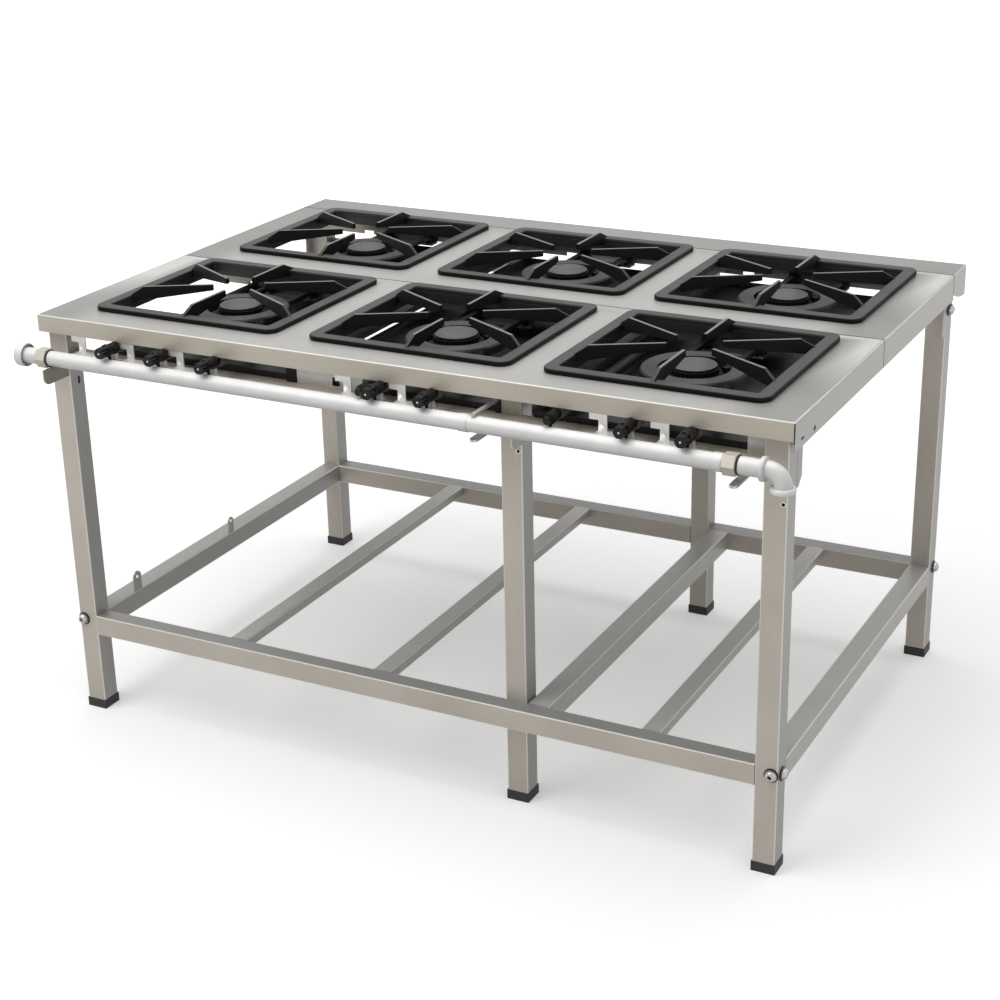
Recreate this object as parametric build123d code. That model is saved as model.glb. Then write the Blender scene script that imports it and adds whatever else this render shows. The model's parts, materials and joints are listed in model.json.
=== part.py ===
from build123d import *
import os
from math import cos, radians, sin, sqrt

# A free-standing six-burner gas stove on an open frame of square tube.
# Places are laid out in the table frame: X along the front from the left corner,
# Y from the front to the back, Z up from the floor. The finished pieces are then
# moved so that the origin lies at the middle of the whole stove's footprint.

# Cast-iron grates and their rows and columns
GRATE_WIDTH = 390.0
GRATE_DEPTH = 372.0
GRATE_CORNER = 22.0
FLANGE_WIDTH = 24.0
FLANGE_THICK = 9.0
SKIRT_INSET = 19.0
SKIRT_CORNER = 6.0
SKIRT_BELOW = 17.0
HOLE_CLEARANCE = 2.0
FINGER_THICK = 8.0
FINGER_BEVEL = 2.0
FINGER_RISE = 15.0
FINGER_TIP_RADIUS = 47.0
FINGER_TIP_DEPTH = 11.0
FINGER_ROOT_DEPTH = 28.0
FINGER_SPREAD = 29.0
FINGER_SINK = 1.0
CORNER_KNEE = 20.0
CORNER_LANDING = 5.0
MIDDLE_KNEE = 15.0
MIDDLE_LANDING = 19.0
LEFT_MARGIN = 80.0
COLUMN_GAPS = (66.0, 59.0)
RIGHT_MARGIN = 65.0
FRONT_MARGIN = 59.0
ROW_GAP = 84.0
REAR_MARGIN = 93.0

# Table top of three sheets with folded aprons
TABLE_HEIGHT = 800.0
SHEET = 1.5
OVERCUT = 1.0
FOLD_RADIUS = 3.0
CORNER_SEAM = 1.5
APRON_DROP = 32.0
SIDE_APRON_DROP = 50.0
REAR_APRON_DROP = 58.0
REAR_APRON_RADIUS = 180.0
STIFFENER_DROP = 44.0
FRONT_SEAM_OFFSET = 21.0
REAR_SEAM_OFFSET = 7.0
SEAM_GAP = 1.5
APRON_HOLE = 10.0
APRON_HOLE_PLACE = (95.0, 40.0)
APRON_SLOT = (14.0, 4.0)
APRON_SLOT_PLACE = (38.0, 37.0)

# Legs and frame tubes
LEG = 40.0
TUBE_WALL = 1.5
TUBE_CORNER = 3.0
LEG_INSET_X = 11.0
LEG_INSET_Y = 12.0
INNER_LEG_CLEARANCE = 9.0
REAR_LEG_INSET = 42.0
RAIL_DEPTH = 34.0
RAIL_HEIGHT = 40.0
RAIL_LEDGE = 8.0
UPPER_RAIL_DROP = 74.0
UPPER_RAIL_HEIGHT = 25.0
LOWER_RAIL_TOP = 200.0
CROSS_TUBE_OFFSET = 3.0
CENTRE_RAIL_WIDTH = 30.0
CENTRE_RAIL_INSET = 1.5
SLAT_WIDTH = 35.0
SLAT_HEIGHT = 20.0
SLAT_CENTRES = (357.0, 667.0, 1192.0)
FOOT_HEIGHT = 18.0
FOOT_PROUD = 1.0
FOOT_PLUG = 20.0
FOOT_CLEARANCE = 0.3
LEG_HOLE = 6.0
LEG_SLOT_LENGTH = 16.0
LEG_SLOT_DROP = 129.0
LEG_SLOT_INSET = 24.0
INNER_HOLE_DROP = 136.0
FRONT_HOLE_DROP = 140.0
HOLE_EDGE = 7.0
LUG_THICK = 3.0
LUG_WIDTHS = (23.0, 17.0)
LUG_STARTS = (135.0, 460.0)
LUG_HEIGHTS = (40.0, 34.0)
LUG_HOLE = 8.0
GUSSET_THICK = 3.0
GUSSET_REACH = 22.0
GUSSET_HEIGHT = 91.0
GUSSET_DROP = 35.0
GUSSET_CHAMFER = 14.0

# Dome-headed bolts with washers
BOLT_HEAD = 20.0
BOLT_HEAD_HEIGHT = 9.0
BOLT_SOCKET = 8.0
BOLT_SOCKET_DEPTH = 4.0
WASHER = 22.0
WASHER_THICK = 1.5
BOLT_SHANK = 8.0
BOLT_FIT = 0.05
BOLT_CROWN = 6.5
BOLT_INSET = 11.0
BOLT_LOWER_DROP = 10.0
BOLT_STEPS = (0.0, 4.0, 8.0)
BOLT_REAR_PLACES = (27.0, 14.0)
BOLT_UPPER_RISE = 2.0

# Burners
RING_OUTER = 182.0
RING_INNER = 123.0
RING_TOP_DROP = 20.0
RING_HEIGHT = 16.0
RING_CHAMFER = 3.0
HEAD = 106.0
HEAD_TOP_DROP = 20.5
HEAD_BORE = 60.0
HEAD_BORE_DEPTH = 10.0
HEAD_SLOTS = 32
SLOT_WIDTH = 3.0
SLOT_DEPTH = 5.0
SLOT_REACH = 5.0
HUB = 56.0
HUB_BOTTOM_DROP = 59.0
SPOKE_WIDTH = 12.0
SPOKE_HEIGHT = 9.0
SPOKES = 4
CAP = 82.0
CAP_THICK = 6.5
CAP_CROWN = 1.8
CAP_SPIGOT_DEPTH = 5.0
CAP_CLEARANCE = 0.3
ARM_WIDTH = 11.0
ARM_HEIGHT = 9.0
ARM_SPREAD = 47.0
REAR_FOOT_REACH = 174.0
FRONT_FOOT_REACH = 160.0
CONE_TOP = 18.0
CONE_BOTTOM = 12.0

# Mixing tubes
MIXER = 22.0
REAR_MIXER = 20.0
MIXER_BORE = 15.0
MOUTH = 26.0
MIXER_NOTCH = 1.5
MOUTH_LENGTH = 16.0
MOUTH_SETBACK = 4.0
REAR_MIXER_DROP = 48.0
REAR_MIXER_SHIFTS = (-10.0, -48.0, -10.0)
REAR_MIXER_TURN = 90.0
REAR_MIXER_STRAIGHT = 560.0
REAR_MIXER_BEND = 12.0
RING_BOSS_OFFSET = (66.0, -38.0)
RING_BOSS = 26.0
RING_FEED_TURN = 90.0
MIXER_BEND = 30.0

# Hangers that carry the burners from the table's underside
HANGER_THICK = 3.0
HANGER_LEDGE = 25.0
HANGER_OVERHANG = 14.0
HANGER_FRONT_REACH = 175.0
HANGER_REAR_REACH = 188.0
HANGER_DROP = 44.0
HANGER_CLEARANCE = 0.3

# Taps and knobs, offsets are from the column centres
TAP_DROP = 38.5
SIDE_TAP_DROP = 43.0
RING_TAPS = (114.0, 89.0, 97.0)
HUB_TAPS = (7.0, -9.0, -5.0)
LEFT_TAP = -99.0
SIDE_TAPS = (-33.0, -136.0)
TAP_BODY = 20.0
TAP_FRONT = -26.0
TAP_BACK = -4.0
TAP_NECK = 6.0
TAP_NECK_Y = -23.0
TAP_NECK_DEPTH = 7.0
NOZZLE = 6.0
NOZZLE_REACH = 8.0
SPINDLE = 6.0
SPINDLE_REACH = 14.0
SIDE_SPINDLE_REACH = 9.0
SPINDLE_FIT = 0.05
SPINDLE_SLACK = 1.0
KNOB_REAR = 26.0
KNOB_FRONT = 21.0
KNOB_LENGTH = 25.0
KNOB_FLANGE = 6.0
KNOB_GAP = 2.0
KNOB_FLUTES = 6
KNOB_FLUTE = 7.0
KNOB_FLUTE_DEPTH = 1.6
SIDE_KNOB = 14.0
SIDE_KNOB_LENGTH = 10.0
SIDE_KNOB_GAP = 1.5
KNOB_EDGE = 1.2

# Stepped brackets that steady the taps, and the filler plate
STEP_THICK = 2.0
STEP_BAR = 15.0
STEP_ARM = 31.0
STEP_ARM_DROP = 43.0
STEP_BOTTOM_DROP = 62.0
STEP_OFFSETS = (-80.0, -79.0, -78.0, -68.0, -61.0, -51.0, -48.0)
SADDLE_FRONT = -16.0
SADDLE_BACK = -6.0
SADDLE_WIDTH = 12.0
SADDLE_CLEARANCE = 0.3
FILLER_WIDTH = 132.0
FILLER_START = 56.0
FILLER_TOP_DROP = 36.0
FILLER_THICK = 2.0
FILLER_HOLE = 15.0
FILLER_HOLE_PLACE = (79.0, 12.0)

# Gas rail along the front
PIPE = 28.0
PIPE_WALL = 2.8
PIPE_FRONT = 33.0
PIPE_DROP = 68.0
SLEEVE = 30.0
SLEEVE_WIDTH = 16.0
SLEEVE_OFFSET = 30.0
JOINT_FIT = 0.05
END_CAP = 43.0
END_CAP_LENGTH = 16.0
END_CAP_OVERHANG = 20.0
END_CAP_FLOOR = 5.0
STUB = 29.0
STUB_WALL = 3.0
UNION_START = 20.0
UNION_LENGTH = 28.0
UNION_FLATS = 33.0
UNION_TURN = 30.0
UNION_SOCKET = 13.0
UNION_GROOVE = 5.0
UNION_GROOVE_DEPTH = 0.9
RIGHT_UNION_INSET = 100.0
COLLAR = 30.0
COLLAR_LENGTH = 15.0
ELBOW_START_INSET = 27.0
ELBOW_OFFSET = 7.0
ELBOW = 29.0
ELBOW_BEAD = 39.0
ELBOW_BEAD_LENGTH = 7.0
ELBOW_BEND = 25.0
ELBOW_BOTTOM_DROP = 100.0
INLET_BEAD = 40.0
INLET_BEAD_LENGTH = 7.0
INLET_BORE = 24.1
INLET_DEPTH = 10.0
ELBOW_SOCKET = 5.0

# Carriers of the gas rail
CARRIER_THICK = 3.0
CARRIER_FRONT = 56.0
CARRIER_HEIGHT = 22.0
LEFT_CARRIER_HEIGHT = 29.0
CARRIER_RADIUS = 14.0
CARRIER_CLEARANCE = 0.3
CARRIER_INSET = 1.0
INNER_CARRIER_FRONT = 5.0
INNER_CARRIER_BACK = 70.0
LOWER_ARM_WIDTH = 14.0
LOWER_ARM_THICK = 4.0
LOWER_ARM_FRONTS = (26.0, 45.0)
LOWER_ARM_HOLE = 5.0
LOWER_ARM_SHIFT = 5.0
UPPER_ARM_WIDTH = 8.0
UPPER_ARM_THICK = 4.0
UPPER_ARM_FRONT = 40.0
UPPER_ARM_BACK = 60.0

# Drip trays
TRAY_SHEET = 1.2
TRAY_HEIGHT = 12.7
TRAY_FLARE = 3.0
TRAY_WIDTH = 374.0
TRAY_STARTS = (49.0, 1.0, -9.0)
TRAY_SEAT = 0.3
TRAY_FRONT_GAP = 1.0
TRAY_BACK = 75.0

# Worked-out places
COLUMNS = (
    LEFT_MARGIN + GRATE_WIDTH / 2,
    LEFT_MARGIN + 1.5 * GRATE_WIDTH + COLUMN_GAPS[0],
    LEFT_MARGIN + 2.5 * GRATE_WIDTH + COLUMN_GAPS[0] + COLUMN_GAPS[1],
)
ROWS = (FRONT_MARGIN + GRATE_DEPTH / 2, FRONT_MARGIN + 1.5 * GRATE_DEPTH + ROW_GAP)
TABLE_WIDTH = COLUMNS[2] + GRATE_WIDTH / 2 + RIGHT_MARGIN
TABLE_DEPTH = ROWS[1] + GRATE_DEPTH / 2 + REAR_MARGIN
FRONT_SEAM = FRONT_MARGIN + GRATE_DEPTH + FRONT_SEAM_OFFSET
REAR_SEAM = ROWS[1] + GRATE_DEPTH / 2 + REAR_SEAM_OFFSET
UNDERSIDE = TABLE_HEIGHT - SHEET
HOLE_WIDTH = GRATE_WIDTH - 2 * SKIRT_INSET + 2 * HOLE_CLEARANCE
HOLE_DEPTH = GRATE_DEPTH - 2 * SKIRT_INSET + 2 * HOLE_CLEARANCE
LEFT_LEG = LEG_INSET_X
INNER_LEG = COLUMNS[1] + HOLE_WIDTH / 2 + INNER_LEG_CLEARANCE
RIGHT_LEG = TABLE_WIDTH - LEG_INSET_X - LEG
FRONT_LEG_Y = LEG_INSET_Y
INNER_LEG_Y = LEG_INSET_Y + RAIL_DEPTH
REAR_LEG_Y = TABLE_DEPTH - REAR_LEG_INSET - LEG
UPPER_RAIL_TOP = TABLE_HEIGHT - UPPER_RAIL_DROP
PIPE_Y = -PIPE_FRONT
PIPE_Z = TABLE_HEIGHT - PIPE_DROP
TAP_Z = TABLE_HEIGHT - TAP_DROP
SIDE_TAP_Z = TABLE_HEIGHT - SIDE_TAP_DROP
REAR_MIXER_Z = TABLE_HEIGHT - REAR_MIXER_DROP
LEDGE_TOP = TABLE_HEIGHT - HANGER_DROP
FRONT_LEDGE_TOP = TAP_Z - MIXER / 2 - HANGER_CLEARANCE
RING_TOP = TABLE_HEIGHT - RING_TOP_DROP
RING_BOTTOM = RING_TOP - RING_HEIGHT
RING_MIDDLE_RADIUS = (RING_OUTER + RING_INNER) / 4
HEAD_TOP = TABLE_HEIGHT - HEAD_TOP_DROP
LEFT_TAP_X = COLUMNS[0] + LEFT_TAP
SIDE_TAP_X = (COLUMNS[1] + SIDE_TAPS[0], COLUMNS[2] + SIDE_TAPS[1])
REAR_FEEDS = (
    (LEFT_TAP_X, TAP_Z),
    (SIDE_TAP_X[0], SIDE_TAP_Z),
    (SIDE_TAP_X[1], SIDE_TAP_Z),
)
REAR_RUN_X = tuple(feed[0] + shift for feed, shift in zip(REAR_FEEDS, REAR_MIXER_SHIFTS))
MAIN_TAP_X = (
    LEFT_TAP_X,
    COLUMNS[0] + HUB_TAPS[0],
    COLUMNS[0] + RING_TAPS[0],
    COLUMNS[1] + HUB_TAPS[1],
    COLUMNS[1] + RING_TAPS[1],
    COLUMNS[2] + HUB_TAPS[2],
    COLUMNS[2] + RING_TAPS[2],
)
COLUMN_NAMES = ("left", "middle", "right")
ROW_NAMES = ("front", "rear")
RIGHT_UNION = TABLE_WIDTH - RIGHT_UNION_INSET
ELBOW_START = RIGHT_LEG + LEG - ELBOW_START_INSET
ELBOW_X = RIGHT_LEG + LEG + ELBOW_OFFSET


def block(x, y, z):
    """Box between two corners, each axis given as (low, high)."""
    size = (x[1] - x[0], y[1] - y[0], z[1] - z[0])
    middle = ((x[0] + x[1]) / 2, (y[0] + y[1]) / 2, (z[0] + z[1]) / 2)
    return Pos(*middle) * Box(*size)


def rod_x(radius, x, y, z):
    """Cylinder along X between x[0] and x[1]."""
    return Pos((x[0] + x[1]) / 2, y, z) * Rot(0, 90, 0) * Cylinder(radius, x[1] - x[0])


def rod_y(radius, x, y, z):
    """Cylinder along Y between y[0] and y[1]."""
    return Pos(x, (y[0] + y[1]) / 2, z) * Rot(90, 0, 0) * Cylinder(radius, y[1] - y[0])


def rod_z(radius, x, y, z):
    """Cylinder along Z between z[0] and z[1]."""
    return Pos(x, y, (z[0] + z[1]) / 2) * Cylinder(radius, z[1] - z[0])


def tube_section(width, height):
    """Rectangular tube section with rounded corners."""
    inner = RectangleRounded(width - 2 * TUBE_WALL, height - 2 * TUBE_WALL, TUBE_CORNER - TUBE_WALL)
    return RectangleRounded(width, height, TUBE_CORNER) - inner


def tube_x(x, y, z):
    """Rectangular tube along X, open at both ends."""
    place = Pos(x[0], (y[0] + y[1]) / 2, (z[0] + z[1]) / 2) * Rot(0, 90, 0)
    return place * extrude(tube_section(z[1] - z[0], y[1] - y[0]), x[1] - x[0])


def tube_y(x, y, z):
    """Rectangular tube along Y, open at both ends."""
    place = Pos((x[0] + x[1]) / 2, y[0], (z[0] + z[1]) / 2) * Rot(-90, 0, 0)
    return place * extrude(tube_section(x[1] - x[0], z[1] - z[0]), y[1] - y[0])


def tube_z(x, y, z):
    """Rectangular tube along Z, open at both ends."""
    place = Pos((x[0] + x[1]) / 2, (y[0] + y[1]) / 2, z[0])
    return place * extrude(tube_section(x[1] - x[0], y[1] - y[0]), z[1] - z[0])


def rounded_slab(width, depth, radius, z, centre):
    """Flat slab with rounded upright corners about a centre."""
    plan = RectangleRounded(width, depth, radius)
    return Pos(centre[0], centre[1], z[0]) * extrude(plan, z[1] - z[0])


def rounded_top(solid, folds, radius):
    """Block whose top edges are rounded on the named sides."""
    top = solid.edges().group_by(Axis.Z)[-1]
    edges = {
        "left": top.sort_by(Axis.X)[0],
        "right": top.sort_by(Axis.X)[-1],
        "front": top.sort_by(Axis.Y)[0],
        "back": top.sort_by(Axis.Y)[-1],
    }
    return fillet([edges[side] for side in folds], radius)


def folded_sheet(y, low, folds):
    """Sheet with aprons folded down on the named sides."""
    front = y[0] + SHEET if "front" in folds else y[0] - SHEET
    back = y[1] - SHEET if "back" in folds else y[1] + SHEET
    outer = rounded_top(block((0, TABLE_WIDTH), y, (low, TABLE_HEIGHT)), folds, FOLD_RADIUS)
    hollow = block((SHEET, TABLE_WIDTH - SHEET), (front, back), (low - SHEET, UNDERSIDE))
    return outer - rounded_top(hollow, folds, FOLD_RADIUS - SHEET)


def sheet_holes(row):
    """Cut-outs of one row for the grates' skirts."""
    corner = SKIRT_CORNER + HOLE_CLEARANCE
    span = (UNDERSIDE - SHEET, TABLE_HEIGHT + SHEET)
    return [rounded_slab(HOLE_WIDTH, HOLE_DEPTH, corner, span, (x, ROWS[row])) for x in COLUMNS]


def stiffener(y):
    """Down-turned edge of a sheet along a seam, notched over the long mixing tubes."""
    low = TABLE_HEIGHT - STIFFENER_DROP
    half = REAR_MIXER / 2 + MIXER_NOTCH
    strip = block((SHEET, TABLE_WIDTH - SHEET), y, (low, UNDERSIDE))
    return strip - [block((x - half, x + half), y, (low, REAR_MIXER_Z + half)) for x in REAR_RUN_X]


def apron_openings():
    """Round hole and short slot in the right apron near the front corner."""
    right = (TABLE_WIDTH - 2 * SHEET, TABLE_WIDTH + SHEET)
    hole = rod_x(APRON_HOLE / 2, right, APRON_HOLE_PLACE[0], TABLE_HEIGHT - APRON_HOLE_PLACE[1])
    middle = TABLE_HEIGHT - APRON_SLOT_PLACE[1]
    slot = block(
        right,
        (APRON_SLOT_PLACE[0] - APRON_SLOT[0] / 2, APRON_SLOT_PLACE[0] + APRON_SLOT[0] / 2),
        (middle - APRON_SLOT[1] / 2, middle + APRON_SLOT[1] / 2),
    )
    return [hole, slot]


def corner_seams():
    """Open upright seams between the front apron and the side aprons."""
    y = (SHEET, SHEET + CORNER_SEAM)
    z = (TABLE_HEIGHT - APRON_DROP - SHEET, TABLE_HEIGHT - FOLD_RADIUS)
    sides = ((-SHEET, SHEET), (TABLE_WIDTH - SHEET, TABLE_WIDTH + SHEET))
    return [block(x, y, z) for x in sides]


def left_apron_trim():
    """Tool that makes the left aprons as shallow as the front one."""
    z = (TABLE_HEIGHT - SIDE_APRON_DROP - SHEET, TABLE_HEIGHT - APRON_DROP)
    return block((-SHEET, SHEET), (0, TABLE_DEPTH), z)


def sheet_front():
    """Front sheet with its front apron, side aprons and rear stiffener."""
    back = FRONT_SEAM - SEAM_GAP / 2
    low = TABLE_HEIGHT - SIDE_APRON_DROP
    sheet = folded_sheet((0, back), low, ("front", "left", "right"))
    width = (-SHEET, TABLE_WIDTH + SHEET)
    sheet -= block(width, (-SHEET, SHEET + CORNER_SEAM), (low - SHEET, TABLE_HEIGHT - APRON_DROP))
    sheet += stiffener((back - SHEET, back))
    return [sheet - left_apron_trim() - sheet_holes(0) - apron_openings() - corner_seams()]


def sheet_middle():
    """Middle sheet with its side aprons and two stiffeners."""
    front = FRONT_SEAM + SEAM_GAP / 2
    back = REAR_SEAM - SEAM_GAP / 2
    sheet = folded_sheet((front, back), TABLE_HEIGHT - SIDE_APRON_DROP, ("left", "right"))
    sheet += stiffener((front, front + SHEET))
    sheet += stiffener((back - SHEET, back))
    return [sheet - left_apron_trim() - sheet_holes(1)]


def rear_apron_corner(x):
    """Tool that cuts a rear side apron's lower edge to an arc."""
    front = REAR_SEAM + SEAM_GAP / 2
    low = TABLE_HEIGHT - REAR_APRON_DROP
    far = (TABLE_DEPTH - SHEET, low + REAR_APRON_RADIUS)
    corner = block(x, (front - SHEET, far[0]), (low - SHEET, far[1]))
    return corner - rod_x(REAR_APRON_RADIUS, (x[0] - SHEET, x[1] + SHEET), *far)


def sheet_rear():
    """Rear strip with deeper side aprons and a rear apron."""
    front = REAR_SEAM + SEAM_GAP / 2
    low = TABLE_HEIGHT - REAR_APRON_DROP
    sheet = folded_sheet((front, TABLE_DEPTH), low, ("left", "right", "back"))
    sides = ((-SHEET, 2 * SHEET), (TABLE_WIDTH - 2 * SHEET, TABLE_WIDTH + SHEET))
    return [sheet - [rear_apron_corner(x) for x in sides]]


def leg_tube(x, y):
    """Upright square tube from its foot to the table's underside."""
    return tube_z((x, x + LEG), (y, y + LEG), (FOOT_HEIGHT, UNDERSIDE))


def leg_front_left():
    """Front left leg with the slot in its right face."""
    drop = TABLE_HEIGHT - LEG_SLOT_DROP
    y = FRONT_LEG_Y + LEG_SLOT_INSET
    right = (LEFT_LEG + LEG / 2, LEFT_LEG + LEG + TUBE_WALL)
    half = (LEG_SLOT_LENGTH - LEG_HOLE) / 2
    slot = rod_x(LEG_HOLE / 2, right, y, drop - half) + rod_x(LEG_HOLE / 2, right, y, drop + half)
    slot += block(right, (y - LEG_HOLE / 2, y + LEG_HOLE / 2), (drop - half, drop + half))
    return [leg_tube(LEFT_LEG, FRONT_LEG_Y) - slot]


def leg_front_inner():
    """Inner front leg behind the front rails, with a small hole in its front face."""
    front = (INNER_LEG_Y - TUBE_WALL, INNER_LEG_Y + LEG / 2)
    x = INNER_LEG + LEG - HOLE_EDGE
    hole = rod_y(LEG_HOLE / 2, x, front, TABLE_HEIGHT - INNER_HOLE_DROP)
    return [leg_tube(INNER_LEG, INNER_LEG_Y) - hole]


def leg_front_right():
    """Front right leg with a small hole in its front face."""
    front = (FRONT_LEG_Y - TUBE_WALL, FRONT_LEG_Y + LEG / 2)
    x = RIGHT_LEG + LEG - HOLE_EDGE
    hole = rod_y(LEG_HOLE / 2, x, front, TABLE_HEIGHT - FRONT_HOLE_DROP)
    return [leg_tube(RIGHT_LEG, FRONT_LEG_Y) - hole]


def foot(x, y):
    """Plastic foot with a plug inside the leg's tube."""
    pad = block(
        (x - FOOT_PROUD, x + LEG + FOOT_PROUD),
        (y - FOOT_PROUD, y + LEG + FOOT_PROUD),
        (0, FOOT_HEIGHT),
    )
    inset = TUBE_WALL + FOOT_CLEARANCE
    plug = block(
        (x + inset, x + LEG - inset),
        (y + inset, y + LEG - inset),
        (FOOT_HEIGHT, FOOT_HEIGHT + FOOT_PLUG),
    )
    return pad + plug


def feet():
    """Six feet, one under each leg."""
    front = [(LEFT_LEG, FRONT_LEG_Y), (INNER_LEG, INNER_LEG_Y), (RIGHT_LEG, FRONT_LEG_Y)]
    rear = [(x, REAR_LEG_Y) for x in (LEFT_LEG, INNER_LEG, RIGHT_LEG)]
    return [foot(x, y) for x, y in front + rear]


def front_rail(top, height):
    """Front rail between the corner legs, in front of the inner leg."""
    return tube_x(
        (LEFT_LEG + LEG, RIGHT_LEG),
        (FRONT_LEG_Y, FRONT_LEG_Y + RAIL_DEPTH),
        (top - height, top),
    )


def rear_rail(top, height):
    """Rear rail in two lengths, left and right of the inner leg."""
    y = (REAR_LEG_Y, REAR_LEG_Y + LEG)
    z = (top - height, top)
    left = tube_x((LEFT_LEG + LEG, INNER_LEG), y, z)
    right = tube_x((INNER_LEG + LEG, RIGHT_LEG), y, z)
    return [left, right]


def upper_front_rail():
    """Upper front rail with ledges on its back that carry the trays' front ends."""
    back = FRONT_LEG_Y + RAIL_DEPTH
    y = (back - TUBE_CORNER, back + RAIL_LEDGE)
    z = (UPPER_RAIL_TOP - TUBE_WALL, UPPER_RAIL_TOP)
    centre = centre_rail_start()
    rail = front_rail(UPPER_RAIL_TOP, UPPER_RAIL_HEIGHT)
    rail += block((LEFT_LEG + LEG, centre), y, z)
    rail += block((centre + CENTRE_RAIL_WIDTH, INNER_LEG), y, z)
    return rail + block((INNER_LEG + LEG, RIGHT_LEG), y, z)


def side_rail(x):
    """Lower side rail between a front and a rear corner leg."""
    y = (FRONT_LEG_Y + LEG, REAR_LEG_Y)
    return tube_y((x, x + LEG), y, (LOWER_RAIL_TOP - RAIL_HEIGHT, LOWER_RAIL_TOP))


def cross_tube():
    """Lower cross tube beside the inner legs."""
    x = INNER_LEG + LEG + CROSS_TUBE_OFFSET
    y = (FRONT_LEG_Y + RAIL_DEPTH, REAR_LEG_Y)
    return tube_y((x, x + LEG), y, (LOWER_RAIL_TOP - RAIL_HEIGHT, LOWER_RAIL_TOP))


def slats():
    """Three flat tubes between the lower front and rear rails, tops flush."""
    y = (FRONT_LEG_Y + RAIL_DEPTH, REAR_LEG_Y)
    z = (LOWER_RAIL_TOP - SLAT_HEIGHT, LOWER_RAIL_TOP)
    return [tube_y((x - SLAT_WIDTH / 2, x + SLAT_WIDTH / 2), y, z) for x in SLAT_CENTRES]


def lug(start, width, height):
    """Upright tab with a round top and a hole, on the left rail's inner edge."""
    x = (LEFT_LEG + LEG - LUG_THICK, LEFT_LEG + LEG)
    middle = start + width / 2
    centre = LOWER_RAIL_TOP + height - width / 2
    tab = block(x, (start, start + width), (LOWER_RAIL_TOP, centre))
    tab += rod_x(width / 2, x, middle, centre)
    return tab - rod_x(LUG_HOLE / 2, (x[0] - LUG_THICK, x[1] + LUG_THICK), middle, centre)


def lugs():
    """Two tabs along the left rail."""
    return [lug(*values) for values in zip(LUG_STARTS, LUG_WIDTHS, LUG_HEIGHTS)]


def centre_rail_start():
    """Left side of the upper rail between the left and the middle tray."""
    return tray_left(0) + TRAY_WIDTH + CENTRE_RAIL_INSET


def cross_rails():
    """Upper rails from front to back: one at the inner legs, one between two trays."""
    z = (UPPER_RAIL_TOP - UPPER_RAIL_HEIGHT, UPPER_RAIL_TOP)
    inner = tube_y((INNER_LEG, INNER_LEG + LEG), (INNER_LEG_Y + LEG, REAR_LEG_Y), z)
    start = centre_rail_start()
    y = (FRONT_LEG_Y + RAIL_DEPTH, REAR_LEG_Y)
    return [inner, tube_y((start, start + CENTRE_RAIL_WIDTH), y, z)]


def gusset(x, y, toward, top):
    """Flat gusset behind or before a corner leg, chamfered at its free lower corner."""
    low = TABLE_HEIGHT - GUSSET_DROP - GUSSET_HEIGHT
    far = y + toward * GUSSET_REACH
    points = [(y, low), (far - toward * GUSSET_CHAMFER, low), (far, low + GUSSET_CHAMFER)]
    points += [(far, top), (y, top)]
    plan = make_face(Polyline(*points, close=True))
    return Pos(x, 0, 0) * extrude(Plane.YZ * plan, GUSSET_THICK)


def gussets():
    """Four gussets in the planes of the corner legs' outer faces."""
    inner_right = RIGHT_LEG + LEG - GUSSET_THICK
    front_top = TABLE_HEIGHT - GUSSET_DROP
    rear_top = TABLE_HEIGHT - STIFFENER_DROP - GUSSET_THICK
    plates = [gusset(x, FRONT_LEG_Y + LEG, 1, front_top) for x in (LEFT_LEG, inner_right)]
    return plates + [gusset(x, REAR_LEG_Y, -1, rear_top) for x in (LEFT_LEG, inner_right)]


def bolt():
    """Dome-headed socket bolt with washer, along +Z with the seat at zero."""
    washer = rod_z(WASHER / 2, 0, 0, (0, WASHER_THICK))
    washer -= rod_z(BOLT_SHANK / 2 + BOLT_FIT, 0, 0, (-1.0, WASHER_THICK + OVERCUT))
    head = rod_z(BOLT_HEAD / 2, 0, 0, (WASHER_THICK, WASHER_THICK + BOLT_HEAD_HEIGHT))
    crown = head.edges().filter_by(GeomType.CIRCLE).sort_by(Axis.Z)[-1]
    head = fillet(crown, BOLT_CROWN)
    top = WASHER_THICK + BOLT_HEAD_HEIGHT
    recess = extrude(RegularPolygon(BOLT_SOCKET / 2, 6), BOLT_SOCKET_DEPTH + OVERCUT)
    head -= Pos(0, 0, top - BOLT_SOCKET_DEPTH) * recess
    head += rod_z(BOLT_SHANK / 2, 0, 0, (0, WASHER_THICK))
    return [washer, head]


def bolts():
    """Five bolts on the legs' outer faces."""
    low = LOWER_RAIL_TOP - BOLT_LOWER_DROP
    right_face = RIGHT_LEG + LEG
    front = Rot(90, 0, 0)
    side = Rot(0, 90, 0)
    places = [
        Pos(LEFT_LEG + BOLT_INSET, FRONT_LEG_Y, low - BOLT_STEPS[0]) * front,
        Pos(right_face - BOLT_INSET, FRONT_LEG_Y, low - BOLT_STEPS[1]) * front,
        Pos(right_face, FRONT_LEG_Y + LEG / 2, low - BOLT_STEPS[2]) * side,
        Pos(right_face, REAR_LEG_Y + BOLT_REAR_PLACES[0], low) * side,
        Pos(right_face, REAR_LEG_Y + BOLT_REAR_PLACES[1], UPPER_RAIL_TOP + BOLT_UPPER_RISE) * side,
    ]
    return [place * solid for place in places for solid in bolt()]


def finger_reach(angle):
    """Distance from the grate's centre to the flange's inner edge along an angle."""
    half_width = GRATE_WIDTH / 2 - FLANGE_WIDTH
    half_depth = GRATE_DEPTH / 2 - FLANGE_WIDTH
    across = abs(cos(radians(angle)))
    along = abs(sin(radians(angle)))
    if across * half_depth > along * half_width:
        return half_width / across
    return half_depth / along


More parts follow.
